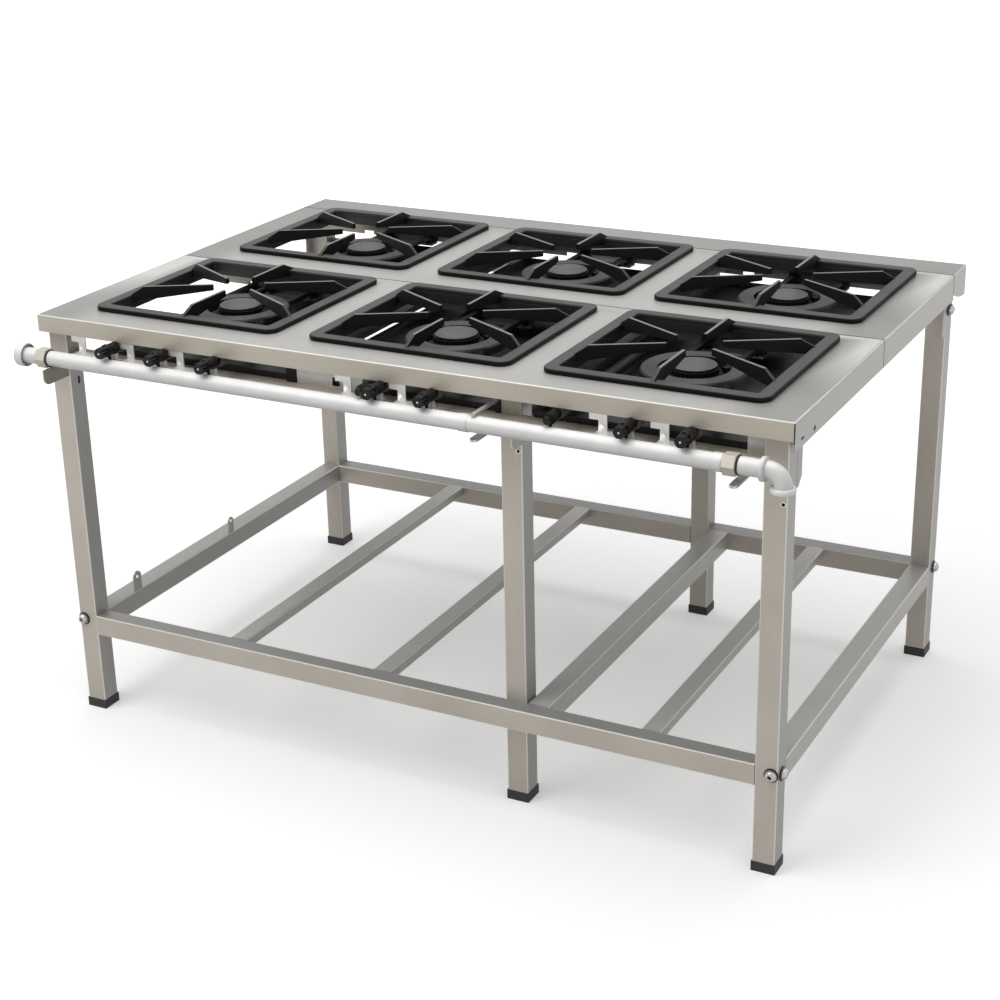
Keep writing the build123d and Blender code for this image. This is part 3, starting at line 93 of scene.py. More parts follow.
class NodeBoard:
    """Small helper that places and wires nodes on one node tree."""

    def __init__(self, tree: Tree) -> None:
        """Keeps the tree to work on."""
        self.tree = tree

    def add(self, kind: str, **settings: object) -> bpy.types.Node:
        """Adds a node and sets its properties and input values.

        Args:
            kind: The node's type identifier.
            **settings: Properties, or input values by name with spaces as underscores.

        Returns:
            The new node.
        """
        node = self.tree.nodes.new(kind)
        for name, value in settings.items():
            label = name.replace("_", " ")
            if label in node.inputs:
                node.inputs[label].default_value = value
            else:
                setattr(node, name, value)
        return node

    def link(self, start: Socket, end: Socket) -> None:
        """Joins an output socket to an input socket."""
        self.tree.links.new(start, end)

    def group(self, tree: Tree, **values: float) -> bpy.types.bpy_prop_collection:
        """Adds a node group with input values and gives its outputs."""
        return self.add("ShaderNodeGroup", node_tree=tree, **values).outputs

    def math(self, operation: str, first: float | Socket, second: float | Socket = 0.0, clamp: bool = False) -> Socket:
        """Adds one step of arithmetic.

        Args:
            operation: The step's kind.
            first: First number or socket.
            second: Second number or socket.
            clamp: Whether the result is kept between zero and one.

        Returns:
            The result.
        """
        node = self.add("ShaderNodeMath", operation=operation, use_clamp=clamp)
        for value, socket in ((first, node.inputs[0]), (second, node.inputs[1])):
            if isinstance(value, float):
                socket.default_value = value
            else:
                self.link(value, socket)
        return node.outputs["Value"]

    def band(self, source: Socket, low: float, high: float, start: float = 0.0, end: float = 1.0) -> Socket:
        """Maps a value's band onto another.

        Args:
            source: The value.
            low: Where the band begins.
            high: Where it ends.
            start: Result at its beginning.
            end: Result at its end.

        Returns:
            The mapped value.
        """
        node = self.add("ShaderNodeMapRange", From_Min=low, From_Max=high, To_Min=start, To_Max=end)
        self.link(source, node.inputs["Value"])
        return node.outputs["Result"]

    def split(self, source: Socket) -> bpy.types.bpy_prop_collection:
        """Separates a vector.

        Args:
            source: The vector.

        Returns:
            Its parts by the names X, Y and Z.
        """
        node = self.add("ShaderNodeSeparateXYZ")
        self.link(source, node.inputs["Vector"])
        return node.outputs

    def place(self, axis: str) -> Socket:
        """One axis of the object's own coordinates."""
        return self.split(self.add("ShaderNodeTexCoord").outputs["Object"])[axis]

    def ramp(self, source: Socket, stops: Steps) -> Socket:
        """Adds a grey ramp.

        Args:
            source: The socket that drives the ramp.
            stops: Position and grey value of each of its two ends.

        Returns:
            The ramp's colour output.
        """
        node = self.add("ShaderNodeValToRGB")
        for element, (position, value) in zip(node.color_ramp.elements, stops):
            element.position = position
            element.color = (*grey(value), 1.0)
        self.link(source, node.inputs["Fac"])
        return node.outputs["Color"]

    def mix(
        self, factor: float | Socket, first: Colour | Socket, second: Colour | Socket, blend: str = "MIX"
    ) -> Socket:
        """Mixes two colours.

        Args:
            factor: The share of the second colour.
            first: Colour or socket at factor zero.
            second: Colour or socket at factor one.
            blend: How the second colour is laid over the first.

        Returns:
            The mixed colour.
        """
        node = self.add("ShaderNodeMix", data_type="RGBA", blend_type=blend)
        for value, socket in ((factor, node.inputs[0]), (first, node.inputs[6]), (second, node.inputs[7])):
            if isinstance(value, float):
                socket.default_value = value
            elif isinstance(value, tuple):
                socket.default_value = (*value, 1.0)
            else:
                self.link(value, socket)
        return node.outputs[2]


def fresh_board(owner: Material | bpy.types.World) -> NodeBoard:
    """Empties the nodes of a material or a world.

    Args:
        owner: The material or the world.

    Returns:
        A board on its empty tree.
    """
    owner.use_nodes = True
    owner.node_tree.nodes.clear()
    return NodeBoard(owner.node_tree)


class Pick(Enum):
    """Kind of mesh element that a step selects."""

    VERTS = "VERT"
    EDGES = "EDGE"
    FACES = "FACE"


class Turn(Enum):
    """Direction of a turned piece's axis, as rotations of +Z."""

    UP = (0.0, 0.0, 0.0)
    RIGHT = (0.0, pi / 2, 0.0)
    FRONT = (pi / 2, 0.0, 0.0)


class Bench:
    """Modelling steps made with Blender's own operators."""

    def clear(self) -> None:
        """Leaves edit mode and deselects everything."""
        active = bpy.context.view_layer.objects.active
        if active is not None and active.mode != "OBJECT":
            bpy.ops.object.mode_set(mode="OBJECT")
        bpy.ops.object.select_all(action="DESELECT")

    def pick(self, *pieces: Piece) -> None:
        """Selects pieces and makes the first one active.

        Args:
            *pieces: The pieces.
        """
        self.clear()
        for piece in pieces:
            piece.select_set(True)
        bpy.context.view_layer.objects.active = pieces[0]

    def settle(self, piece: Piece) -> Piece:
        """Puts a piece's place, turn and size into its mesh.

        Args:
            piece: The piece.

        Returns:
            The same piece.
        """
        self.pick(piece)
        bpy.ops.object.transform_apply(location=True, rotation=True, scale=True)
        return piece

    def open(self, piece: Piece) -> None:
        """Starts editing a piece with nothing selected.

        Args:
            piece: The piece.
        """
        self.pick(piece)
        bpy.ops.object.mode_set(mode="EDIT")
        bpy.ops.mesh.select_all(action="DESELECT")

    def close(self) -> None:
        """Ends editing."""
        bpy.ops.object.mode_set(mode="OBJECT")

    def choose(self, piece: Piece, kind: Pick, test: Callable[[Vector, Vector], bool]) -> None:
        """Selects elements of the piece that is being edited.

        Args:
            piece: The piece in edit mode.
            kind: Vertices, edges or faces.
            test: Says yes or no to an element's middle and its normal or direction.
        """
        bpy.ops.mesh.select_mode(type=kind.value)
        bpy.ops.mesh.select_all(action="DESELECT")
        shape = bmesh.from_edit_mesh(piece.data)
        if kind is Pick.VERTS:
            for vert in shape.verts:
                vert.select_set(test(vert.co, vert.normal))
        elif kind is Pick.EDGES:
            for edge in shape.edges:
                start, end = edge.verts[0].co, edge.verts[1].co
                edge.select_set(test((start + end) / 2, (end - start).normalized()))
        else:
            for face in shape.faces:
                face.select_set(test(face.calc_center_median(), face.normal))
        shape.select_flush_mode()
        bmesh.update_edit_mesh(piece.data)

    def block(self, name: str, low: Point, high: Point) -> Piece:
        """Makes a box between two corners.

        Args:
            name: The piece's name.
            low: Lowest corner in metres.
            high: Highest corner in metres.

        Returns:
            The new piece.
        """
        self.clear()
        middle = tuple((a + b) / 2 for a, b in zip(low, high))
        bpy.ops.mesh.primitive_cube_add(size=1.0, location=middle)
        piece = bpy.context.object
        piece.name = name
        piece.scale = tuple(b - a for a, b in zip(low, high))
        return self.settle(piece)

    def rounded_block(
        self, name: str, low: Point, high: Point, corner: float, segments: int = 6
    ) -> Piece:
        """Makes a box whose four upright edges are rounded.

        Args:
            name: The piece's name.
            low: Lowest corner in metres.
            high: Highest corner in metres.
            corner: The corners' radius in metres.
            segments: Faces in each corner.

        Returns:
            The new piece.
        """
        piece = self.block(name, low, high)
        self.open(piece)
        self.choose(piece, Pick.EDGES, lambda middle, along: abs(along.z) > 0.9)
        bpy.ops.mesh.bevel(offset=corner, segments=segments, affect="EDGES")
        self.close()
        return piece

    def turned(
        self, name: str, steps: Steps, place: Point, turn: Turn = Turn.UP, sides: int = 48
    ) -> Piece:
        """Turns an outline round an axis by extruding a circle from step to step.

        Args:
            name: The piece's name.
            steps: Radius and height of each step in millimetres, closed where the last step is the first.
            place: Where the outline's zero lies.
            turn: The axis's direction.
            sides: Faces round the axis.

        Returns:
            The new piece.
        """
        self.clear()
        outline = [(radius * MM, height * MM) for radius, height in steps]
        ring = outline[0] == outline[-1]
        radius, height = outline[0]
        fill = "NOTHING" if ring else "NGON"
        bpy.ops.mesh.primitive_circle_add(vertices=sides, radius=radius, fill_type=fill, location=(0.0, 0.0, 0.0))
        piece = bpy.context.object
        piece.name = name
        bpy.ops.object.mode_set(mode="EDIT")
        bpy.ops.mesh.select_all(action="SELECT")
        bpy.ops.transform.translate(value=(0.0, 0.0, height))
        for wide, high in outline[1:]:
            bpy.ops.mesh.extrude_region_move(TRANSFORM_OT_translate={"value": (0.0, 0.0, high - height)})
            scale = wide / radius
            bpy.ops.transform.resize(value=(scale, scale, 1.0), center_override=(0.0, 0.0, high))
            radius, height = wide, high
        bpy.ops.mesh.select_all(action="SELECT")
        bpy.ops.mesh.remove_doubles(threshold=1e-6)
        bpy.ops.mesh.normals_make_consistent(inside=False)
        self.close()
        piece.rotation_euler = turn.value
        piece.location = place
        return self.settle(piece)

    def apply(self, piece: Piece, kind: str, **settings: object) -> Piece:
        """Adds one modifier with its settings and applies it.

        Args:
            piece: The piece.
            kind: The modifier's type.
            **settings: Its properties.

        Returns:
            The same piece.
        """
        modifier = piece.modifiers.new(kind.lower(), kind)
        for name, value in settings.items():
            setattr(modifier, name, value)
        self.pick(piece)
        bpy.ops.object.modifier_apply(modifier=modifier.name)
        return piece

    def bevel(self, piece: Piece, width: float, segments: int = 2, angle: float = 35.0) -> Piece:
        """Rounds the edges that are sharper than an angle in degrees.

        Args:
            piece: The piece.
            width: How much they are rounded, in metres.
            segments: Faces across each edge.
            angle: The angle.

        Returns:
            The same piece.
        """
        return self.apply(
            piece, "BEVEL", width=width, segments=segments, limit_method="ANGLE", angle_limit=radians(angle)
        )

    def cut(self, piece: Piece, tool: Piece) -> Piece:
        """Takes a tool's shape out of a piece and removes the tool.

        Args:
            piece: The piece.
            tool: The tool.

        Returns:
            The same piece.
        """
        self.apply(piece, "BOOLEAN", operation="DIFFERENCE", solver="EXACT", object=tool)
        bpy.data.objects.remove(tool)
        return piece

    def join(self, *pieces: Piece) -> Piece:
        """Joins pieces into the first one.

        Args:
            *pieces: The pieces.

        Returns:
            The first piece.
        """
        self.pick(*pieces)
        bpy.ops.object.join()
        return pieces[0]

    def smooth(self, piece: Piece, angle: float = 35.0) -> Piece:
        """Shades a piece smooth up to an angle in degrees and keeps its flat faces flat.

        Args:
            piece: The piece.
            angle: The angle.

        Returns:
            The same piece.
        """
        self.pick(piece)
        bpy.ops.object.shade_smooth_by_angle(angle=radians(angle))
        return self.apply(piece, "WEIGHTED_NORMAL", keep_sharp=True)

    def copy(self, piece: Piece, name: str, shift: Point = (0.0, 0.0, 0.0)) -> Piece:
        """Copies a piece with its own mesh, moved by a shift.

        Args:
            piece: The piece.
            name: The copy's name.
            shift: The shift in metres.

        Returns:
            The copy.
        """
        self.pick(piece)
        bpy.ops.object.duplicate(linked=False)
        twin = bpy.context.object
        twin.name = name
        twin.location = shift
        return self.settle(twin)

    def swing(self, piece: Piece, angle: float, place: Point) -> Piece:
        """Turns a piece about the upright axis by degrees, then moves it to a place.

        Args:
            piece: The piece.
            angle: The angle.
            place: The place.

        Returns:
            The same piece.
        """
        piece.rotation_euler = (0.0, 0.0, radians(angle))
        piece.location = place
        return self.settle(piece)


BENCH = Bench()


def install(
    piece: Piece, material: Material | None, body: str, slot: str, nodes: Sequence[str] = ()
) -> None:
    """Finishes a piece: its material, the body it rides on and the nodes it stands for.

    Args:
        piece: The finished piece.
        material: Its material, or None where its parts already have theirs.
        body: The body's name.
        slot: The record's material slot; not used.
        nodes: Nodes that the piece replaces.
    """
    if material is not None:
        piece.data.materials.clear()
        piece.data.materials.append(material)
    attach(piece, body)
    if nodes:
        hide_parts(*nodes)
    LOG.info("piece %s on %s in %s", piece.name, body, piece.data.materials[0].name)


def six_copies(first: Piece, name: str) -> Iterator[tuple[Piece, str]]:
    """Copies a piece from the left front burner to all six and removes the first.

    Args:
        first: The piece at the left front burner.
        name: Start of the copies' names.

    Returns:
        Each copy with its burner's name.
    """
    for place, x, y in burner_places():
        shift = ((x - COLUMNS["left"]) * MM, (y - ROWS["front"]) * MM, 0.0)
        yield BENCH.copy(first, f"{name}_{place}", shift), place
    bpy.data.objects.remove(first)


class EffectLibrary:
    """Shader node groups that several finishes share."""

    def __init__(self) -> None:
        """Starts with no groups built."""
        self.groups: dict[str, Tree] = {}

    def start(
        self, name: str, inputs: dict[str, float], outputs: Sequence[str]
    ) -> tuple[NodeBoard, bpy.types.Node, bpy.types.Node]:
        """Starts a node group whose sockets are all numbers.

        Args:
            name: The group's name.
            inputs: Inputs and their default values.
            outputs: Names of the outputs.

        Returns:
            The board, the group's input node and its output node.
        """
        tree = self.groups[name] = bpy.data.node_groups.new(name, "ShaderNodeTree")
        for label, value in inputs.items():
            socket = tree.interface.new_socket(label, in_out="INPUT", socket_type="NodeSocketFloat")
            socket.default_value = value
        for label in outputs:
            tree.interface.new_socket(label, in_out="OUTPUT", socket_type="NodeSocketFloat")
        board = NodeBoard(tree)
        return board, board.add("NodeGroupInput"), board.add("NodeGroupOutput")

    def noises(self, name: str, stretch: Point, sizes: Pair, fine: Pair, cloud: Pair) -> Tree:
        """Fine grain or pits with broad clouds.

        Args:
            name: The group's name.
            stretch: Scales of the object's axes for the fine noise.
            sizes: Default fineness and cloud size.
            fine: Detail and roughness of the fine noise.
            cloud: Detail and roughness of the clouds.

        Returns:
            A group with outputs Fine and Cloud.
        """
        if name in self.groups:
            return self.groups[name]
        board, start, end = self.start(name, {"Fineness": sizes[0], "Cloud Size": sizes[1]}, ("Fine", "Cloud"))
        place = board.add("ShaderNodeTexCoord").outputs["Object"]
        stretched = board.add("ShaderNodeMapping", Scale=stretch)
        board.link(place, stretched.inputs["Vector"])
        for label, size, vector, (detail, roughness) in (
            ("Fine", "Fineness", stretched.outputs["Vector"], fine), ("Cloud", "Cloud Size", place, cloud)
        ):
            noise = board.add("ShaderNodeTexNoise", Detail=detail, Roughness=roughness)
            board.link(vector, noise.inputs["Vector"])
            board.link(start.outputs[size], noise.inputs["Scale"])
            board.link(noise.outputs["Fac"], end.inputs[label])
        return board.tree

    def brushed(self, axis: GrainAxis) -> Tree:
        """Fine brushed grain along one axis."""
        name = f"brushed_grain_{axis.name.lower()}"
        return self.noises(name, axis.value, sizes=(12.0, 6.0), fine=(5.0, 0.62), cloud=(3.0, 0.5))

    def cast(self) -> Tree:
        """Pitted cast surface."""
        return self.noises("cast_surface", grey(1.0), sizes=(420.0, 18.0), fine=(4.0, 0.6), cloud=(4.0, 0.55))

    def facing(self) -> Tree:
        """Masks of the faces that look up, sideways or down and of the bends between flat faces, with which the
        finishes paint light, shade and highlights.

        Returns:
            A group with outputs Up, Down, Side and Bend.
        """
        name = "facing_masks"
        if name in self.groups:
            return self.groups[name]
        board, start, end = self.start(name, {"Bend Width": 0.12}, ("Up", "Down", "Side", "Bend"))
        normal = board.add("ShaderNodeNewGeometry").outputs["Normal"]
        absolute = board.add("ShaderNodeVectorMath", operation="ABSOLUTE")
        board.link(normal, absolute.inputs[0])
        parts, sizes = board.split(normal), board.split(absolute.outputs["Vector"])
        largest = board.math("MAXIMUM", board.math("MAXIMUM", sizes["X"], sizes["Y"]), sizes["Z"])
        masks = {
            "Bend": board.math("DIVIDE", board.math("SUBTRACT", 0.985, largest), start.outputs["Bend Width"], True),
            "Up": board.band(parts["Z"], 0.5, 0.9),
            "Side": board.band(sizes["X"], 0.6, 0.9),
            "Down": board.band(parts["Z"], 0.75, -0.8),
        }
        for label, mask in masks.items():
            board.link(mask, end.inputs[label])
        return board.tree


EFFECTS = EffectLibrary()


@dataclass(frozen=True)
class Finish:
    """Common part of every finish: a named Principled material."""

    name: str

    def start(self, **values: float) -> tuple[Material, NodeBoard, bpy.types.Node]:
        """Makes the material with its shader.

        Args:
            **values: The shader's uniform values.

        Returns:
            The material, its board and the shader.
        """
        material = bpy.data.materials.new(self.name)
        board = fresh_board(material)
        shader = board.add("ShaderNodeBsdfPrincipled", **values)
        output = board.add("ShaderNodeOutputMaterial")
        board.link(shader.outputs["BSDF"], output.inputs["Surface"])
        return material, board, shader

    def zone(self, board: NodeBoard, colour: Socket) -> Socket:
        """Leaves the colour as it is; a finish with a second zone changes it there."""
        return colour

    def surface(
        self, board: NodeBoard, shader: bpy.types.Node, colour: Socket, rough: Socket, height: Socket, depth: float
    ) -> None:
        """Feeds colour, roughness and bump into the shader.

        Args:
            board: The material's board.
            shader: The Principled shader.
            colour: The base colour.
            rough: The roughness.
            height: The bump's height.
            depth: The bump's depth in metres.
        """
        bump = board.add("ShaderNodeBump", Strength=0.6, Distance=depth)
        board.link(height, bump.inputs["Height"])
        for source, label in ((colour, "Base Color"), (rough, "Roughness"), (bump.outputs["Normal"], "Normal")):
            board.link(source, shader.inputs[label])


@dataclass(frozen=True)
class BrushedSteel(Finish):
    """Brushed stainless steel with a grain along one axis, painted light and shade by which way each face looks, and a
    painted highlight on its bends.
    """

    # Tones of upright faces, then of up-facing faces: the split between them is painted light and shade.
    light: Colour
    dark: Colour
    painted_top_light: Colour
    painted_top_dark: Colour
    axis: GrainAxis
    # Tone of faces that look along X: painted shade.
    side: Colour = (0.375, 0.366, 0.345)
    # Tone of the rounded bends: a painted highlight.
    bend: Colour = (0.86, 0.85, 0.82)
    bend_highlight_share: float = 0.75
    metallic: float = 0.2
    roughness: float = 0.42
    depth: float = 0.00006

    def build(self) -> Material:
        """Makes the material.

        Returns:
            The brushed steel.
        """
        material, board, shader = self.start(Metallic=self.metallic)
        grain, facing = board.group(EFFECTS.brushed(self.axis)), board.group(EFFECTS.facing())
        cloud = board.ramp(grain["Cloud"], ((0.35, 0.0), (0.68, 1.0)))
        # Upright, up-facing and sideways faces take their own tones: painted light and shade.
        upright = board.mix(cloud, self.light, self.dark)
        flat = self.zone(board, board.mix(cloud, self.painted_top_light, self.painted_top_dark))
        base = board.mix(facing["Up"], board.mix(facing["Side"], upright, self.side), flat)
        # Painted highlight on the rounded bends.
        highlighted = board.mix(board.math("MULTIPLY", facing["Bend"], self.bend_highlight_share), base, self.bend)
        streaked = board.mix(1.0, highlighted, board.ramp(grain["Fine"], ((0.3, 0.9), (0.7, 1.05))), "MULTIPLY")
        rough = board.ramp(grain["Fine"], ((0.2, self.roughness - 0.08), (0.8, self.roughness + 0.08)))
        self.surface(board, shader, streaked, rough, grain["Fine"], self.depth)
        return material


@dataclass(frozen=True)
class TopSteel(BrushedSteel):
    """Brushed steel of the table top, with painted light on its middle and painted shade along its sides and its rear.
    """

    # Scale of the flat colour in the middle (painted light) and on the strips (painted shade).
    middle: float = 1.22
    border: float = 0.8
    side_strip: Pair = (0.6, 0.66)
    rear_strip: Pair = (0.38, 0.44)

    def zone(self, board: NodeBoard, colour: Socket) -> Socket:
        """Scales the colour up in the middle and down on the side and rear strips: painted light and shade.

        Args:
            board: The material's board.
            colour: The flat faces' colour.

        Returns:
            The changed colour.
        """
        beside = board.band(board.math("ABSOLUTE", board.place("X")), *self.side_strip)
        behind = board.band(board.place("Y"), *self.rear_strip)
        level = board.band(board.math("MAXIMUM", beside, behind), 0.0, 1.0, self.middle, self.border)
        scaled = board.add("ShaderNodeVectorMath", operation="SCALE")
        board.link(colour, scaled.inputs[0])
        board.link(level, scaled.inputs["Scale"])
        return scaled.outputs["Vector"]


@dataclass(frozen=True)
class CastIron(Finish):
    """Cast iron with fine pits, painted tones on what looks up in two bands of height, and a painted highlight on its
    rounded edges.
    """

    colour: Colour
    # Tone of up-facing faces above the first band: painted light, with wear on the grates; painted shade on the
    # crowns' tops under the caps.
    painted_top_tone_and_wear: Colour
    painted_top_band: Pair
    # Tone of up-facing faces above the second band: a painted highlight, with wear on the grates' finger ridges.
    ridge: Colour
    ridge_band: Pair
    # Tone of the rounded edges: a painted highlight.
    edge: Colour
    edge_highlight_share: float = 0.5
    roughness: float = 0.45
    specular: float = 0.4
    depth: float = 0.00025

    def build(self) -> Material:
        """Makes the material.

        Returns:
            The cast iron.
        """
        material, board, shader = self.start(Metallic=0.1, Specular_IOR_Level=self.specular)
        cast, facing = board.group(EFFECTS.cast()), board.group(EFFECTS.facing())
        patch = board.math("MULTIPLY", board.ramp(cast["Cloud"], ((0.3, 0.8), (0.7, 1.0))), facing["Up"])
        base: Colour | Socket = self.colour
        # Painted tones on up-facing faces in each band, then the painted edge highlight.
        for colour, band in ((self.painted_top_tone_and_wear, self.painted_top_band), (self.ridge, self.ridge_band)):
            base = board.mix(board.math("MULTIPLY", board.band(board.place("Z"), *band), patch), base, colour)
        base = board.mix(board.math("MULTIPLY", facing["Bend"], self.edge_highlight_share), base, self.edge)
        rough = board.ramp(cast["Cloud"], ((0.25, self.roughness - 0.08), (0.75, self.roughness + 0.1)))
        self.surface(board, shader, self.zone(board, base), rough, cast["Fine"], self.depth)
        return material


@dataclass(frozen=True)
class BurnerIron(CastIron):
    """Cast iron whose mixing tubes are bare and paler near the gas rail."""

    bare: Colour = (0.13, 0.115, 0.095)
    bare_band: Pair = (-0.36, -0.41)

    def zone(self, board: NodeBoard, colour: Socket) -> Socket:
        """Mixes in the bare tubes' colour towards the front."""
        return board.mix(board.band(board.place("Y"), *self.bare_band), colour, self.bare)


@dataclass(frozen=True)
class SmoothCoat(Finish):
    """Paint, plating or plastic with faint cloudy changes and painted shade where it turns down."""

    light: Colour
    dark: Colour
    roughness: float
    metallic: float = 0.0
    specular: float = 0.5
    # Share of the colour kept where the coat turns down: painted shade.
    painted_underside_shade: float = 1.0
    depth: float = 0.00004

    def build(self) -> Material:
        """Makes the material.

        Returns:
            The coat.
        """
        material, board, shader = self.start(Metallic=self.metallic, Specular_IOR_Level=self.specular)
        cast, facing = board.group(EFFECTS.cast(), Cloud_Size=30.0), board.group(EFFECTS.facing())
        mask = board.ramp(cast["Cloud"], ((0.35, 0.0), (0.65, 1.0)))
        # Painted shade on faces that turn down.
        low = board.mix(mask, self.with_painted_shade(self.light), self.with_painted_shade(self.dark))
        base = board.mix(facing["Down"], board.mix(mask, self.light, self.dark), low)
        rough = board.ramp(cast["Cloud"], ((0.25, self.roughness * 0.85), (0.75, self.roughness * 1.15)))
        self.surface(board, shader, base, rough, cast["Fine"], self.depth)
        return material

    def with_painted_shade(self, colour: Colour) -> Colour:
        """Colour of the same coat with painted shade, where it turns down."""
        return tuple(part * self.painted_underside_shade for part in colour)


class FinishSet:
    """Every finish of the stove, built once."""

    def __init__(self) -> None:
        """Builds each material; steels take a light and a dark tone for upright and for flat faces, the two sets
        painting light and shade by which way a face looks.
        """
        along_x, along_y, along_z = GrainAxis
        # Flat and upright tones of the same steel: painted light and shade by which way a face looks.
        flat = ((0.352, 0.347, 0.33), (0.32, 0.315, 0.299))
        upright = ((0.5, 0.455, 0.385), (0.45, 0.41, 0.345))
        tube = ((0.51, 0.465, 0.405), (0.45, 0.41, 0.355))
        # Lighter flat tones for the Y tubes and slats: painted light on their tops.
        bright = ((0.47, 0.462, 0.44), (0.43, 0.423, 0.403))
        light = ((0.56, 0.55, 0.525), (0.52, 0.51, 0.487))
        # Nearly black tones for steel under the table: painted shade.
        deep = ((0.1, 0.092, 0.078), (0.07, 0.064, 0.054))
        # Very pale flat tones for the front rail's ledge: painted light on its shaded top.
        painted_ledge_light = ((0.5, 0.46, 0.39), (0.44, 0.4, 0.34), (0.95, 0.88, 0.76), (0.9, 0.83, 0.72))
        # Darker tones for the left carrier plate: painted shade.
        shaded_olive = ((0.3, 0.28, 0.24), (0.22, 0.205, 0.17))
        self.top = TopSteel("stainless_top", *upright, *flat, along_x, side=(0.44, 0.43, 0.406)).build()
        self.tube_x = BrushedSteel("stainless_tube_x", *tube, *flat, along_x).build()
        self.tube_y = BrushedSteel("stainless_tube_y", *tube, *bright, along_y).build()
        self.tube_z = BrushedSteel("stainless_tube_z", *tube, *flat, along_z).build()
        self.slat = BrushedSteel("stainless_slat", *tube, *light, along_y, side=(0.46, 0.45, 0.425)).build()
        # Steel under the table, made nearly black: painted shade.
        self.under = BrushedSteel("underside_steel_painted_shade", *deep, *deep, along_y, side=deep[1], bend_highlight_share=0.1).build()
        # Front rail's ledge with painted light on its top.
        self.painted_lit_ledge = BrushedSteel("ledge_steel", *painted_ledge_light, along_x, metallic=0.0, roughness=0.5).build()
        # Left carrier plate's steel, darker: painted shade.
        self.carrier = BrushedSteel("carrier_steel_painted_shade", *shaded_olive, *shaded_olive, along_z, side=shaded_olive[1], bend_highlight_share=0.25).build()

        # Height bands above which up-facing faces take a painted tone: light on grates, burners and caps, shade on the
        # crowns under the caps.
        rim, fingers = (0.8075, 0.809), (0.8232, 0.8239)
        ring, head, cap, top = (0.778, 0.780), (0.776, 0.7795), (0.783, 0.7855), (0.790, 0.8)
        black, dull = grey(0.002), (0.072, 0.072, 0.073)
        # Grate: paler tops and finger ridges are painted light with wear, paler edges a painted highlight.
        self.grate = CastIron(
            "cast_grate", grey(0.006), grey(0.08), rim, grey(0.23), fingers, grey(0.03), edge_highlight_share=0.25, specular=0.1
        ).build()
        # Paler copy of the grate iron for the walls round the opening: painted light.
        self.skirt = CastIron("cast_iron_painted_wall_light", grey(0.02), grey(0.02), rim, grey(0.02), fingers, grey(0.05)).build()
        # Burner: paler ring top is painted light, paler edges a painted highlight.
        self.burner = BurnerIron(
            "cast_burner", grey(0.006), grey(0.05), ring, grey(0.05), top, grey(0.02), specular=0.3
        ).build()
        # Crown: black top under the cap is painted shade.
        self.crown = CastIron(
            "cast_crown", grey(0.014), black, head, black, top, grey(0.02), edge_highlight_share=0.2, specular=0.08
        ).build()
        # Cap: paler top is painted light, pale edges a painted highlight.
        self.cap = CastIron("cast_cap", grey(0.01), dull, cap, dull, top, grey(0.15)).build()

        silver = ((0.82, 0.815, 0.805), (0.77, 0.765, 0.75))
        brass = ((0.62, 0.58, 0.51), (0.56, 0.52, 0.45))
        chrome = ((0.6, 0.59, 0.58), (0.5, 0.49, 0.48))
        zinc = ((0.75, 0.74, 0.71), (0.68, 0.67, 0.64))
        soot = ((0.01, 0.0095, 0.009), (0.006, 0.006, 0.0055))
        chalk = ((0.8, 0.8, 0.79), (0.72, 0.72, 0.71))
        # Pipe, nuts and bolt take painted shade on their down-turned faces.
        self.pipe = SmoothCoat("silver_pipe", *silver, 0.46, metallic=0.12, painted_underside_shade=0.56).build()
        self.nickel = SmoothCoat("nickel_nut", *brass, 0.4, metallic=0.25, painted_underside_shade=0.62).build()
        self.bolt = SmoothCoat("bright_bolt", *chrome, 0.2, metallic=0.85, painted_underside_shade=0.5).build()
        self.zinc = SmoothCoat("zinc_bracket", *zinc, 0.35, metallic=0.3).build()
        self.tap = SmoothCoat("tap_body", *soot, 0.5, specular=0.15).build()
        self.mark = SmoothCoat("white_mark", *chalk, 0.5).build()
        self.tray = SmoothCoat("tray_coat", grey(0.012), grey(0.02), 0.5).build()
        self.foot = SmoothCoat("foot_plastic", grey(0.012), grey(0.02), 0.6).build()
        self.knob = SmoothCoat("knob_plastic", grey(0.002), grey(0.003), 0.24, specular=0.2).build()
        # Dark rubber for the seals, also used for the painted-shade plates and bolt rings.
        self.seal = SmoothCoat("rubber_seal_and_painted_shade", grey(0.008), grey(0.013), 0.6, specular=0.3).build()


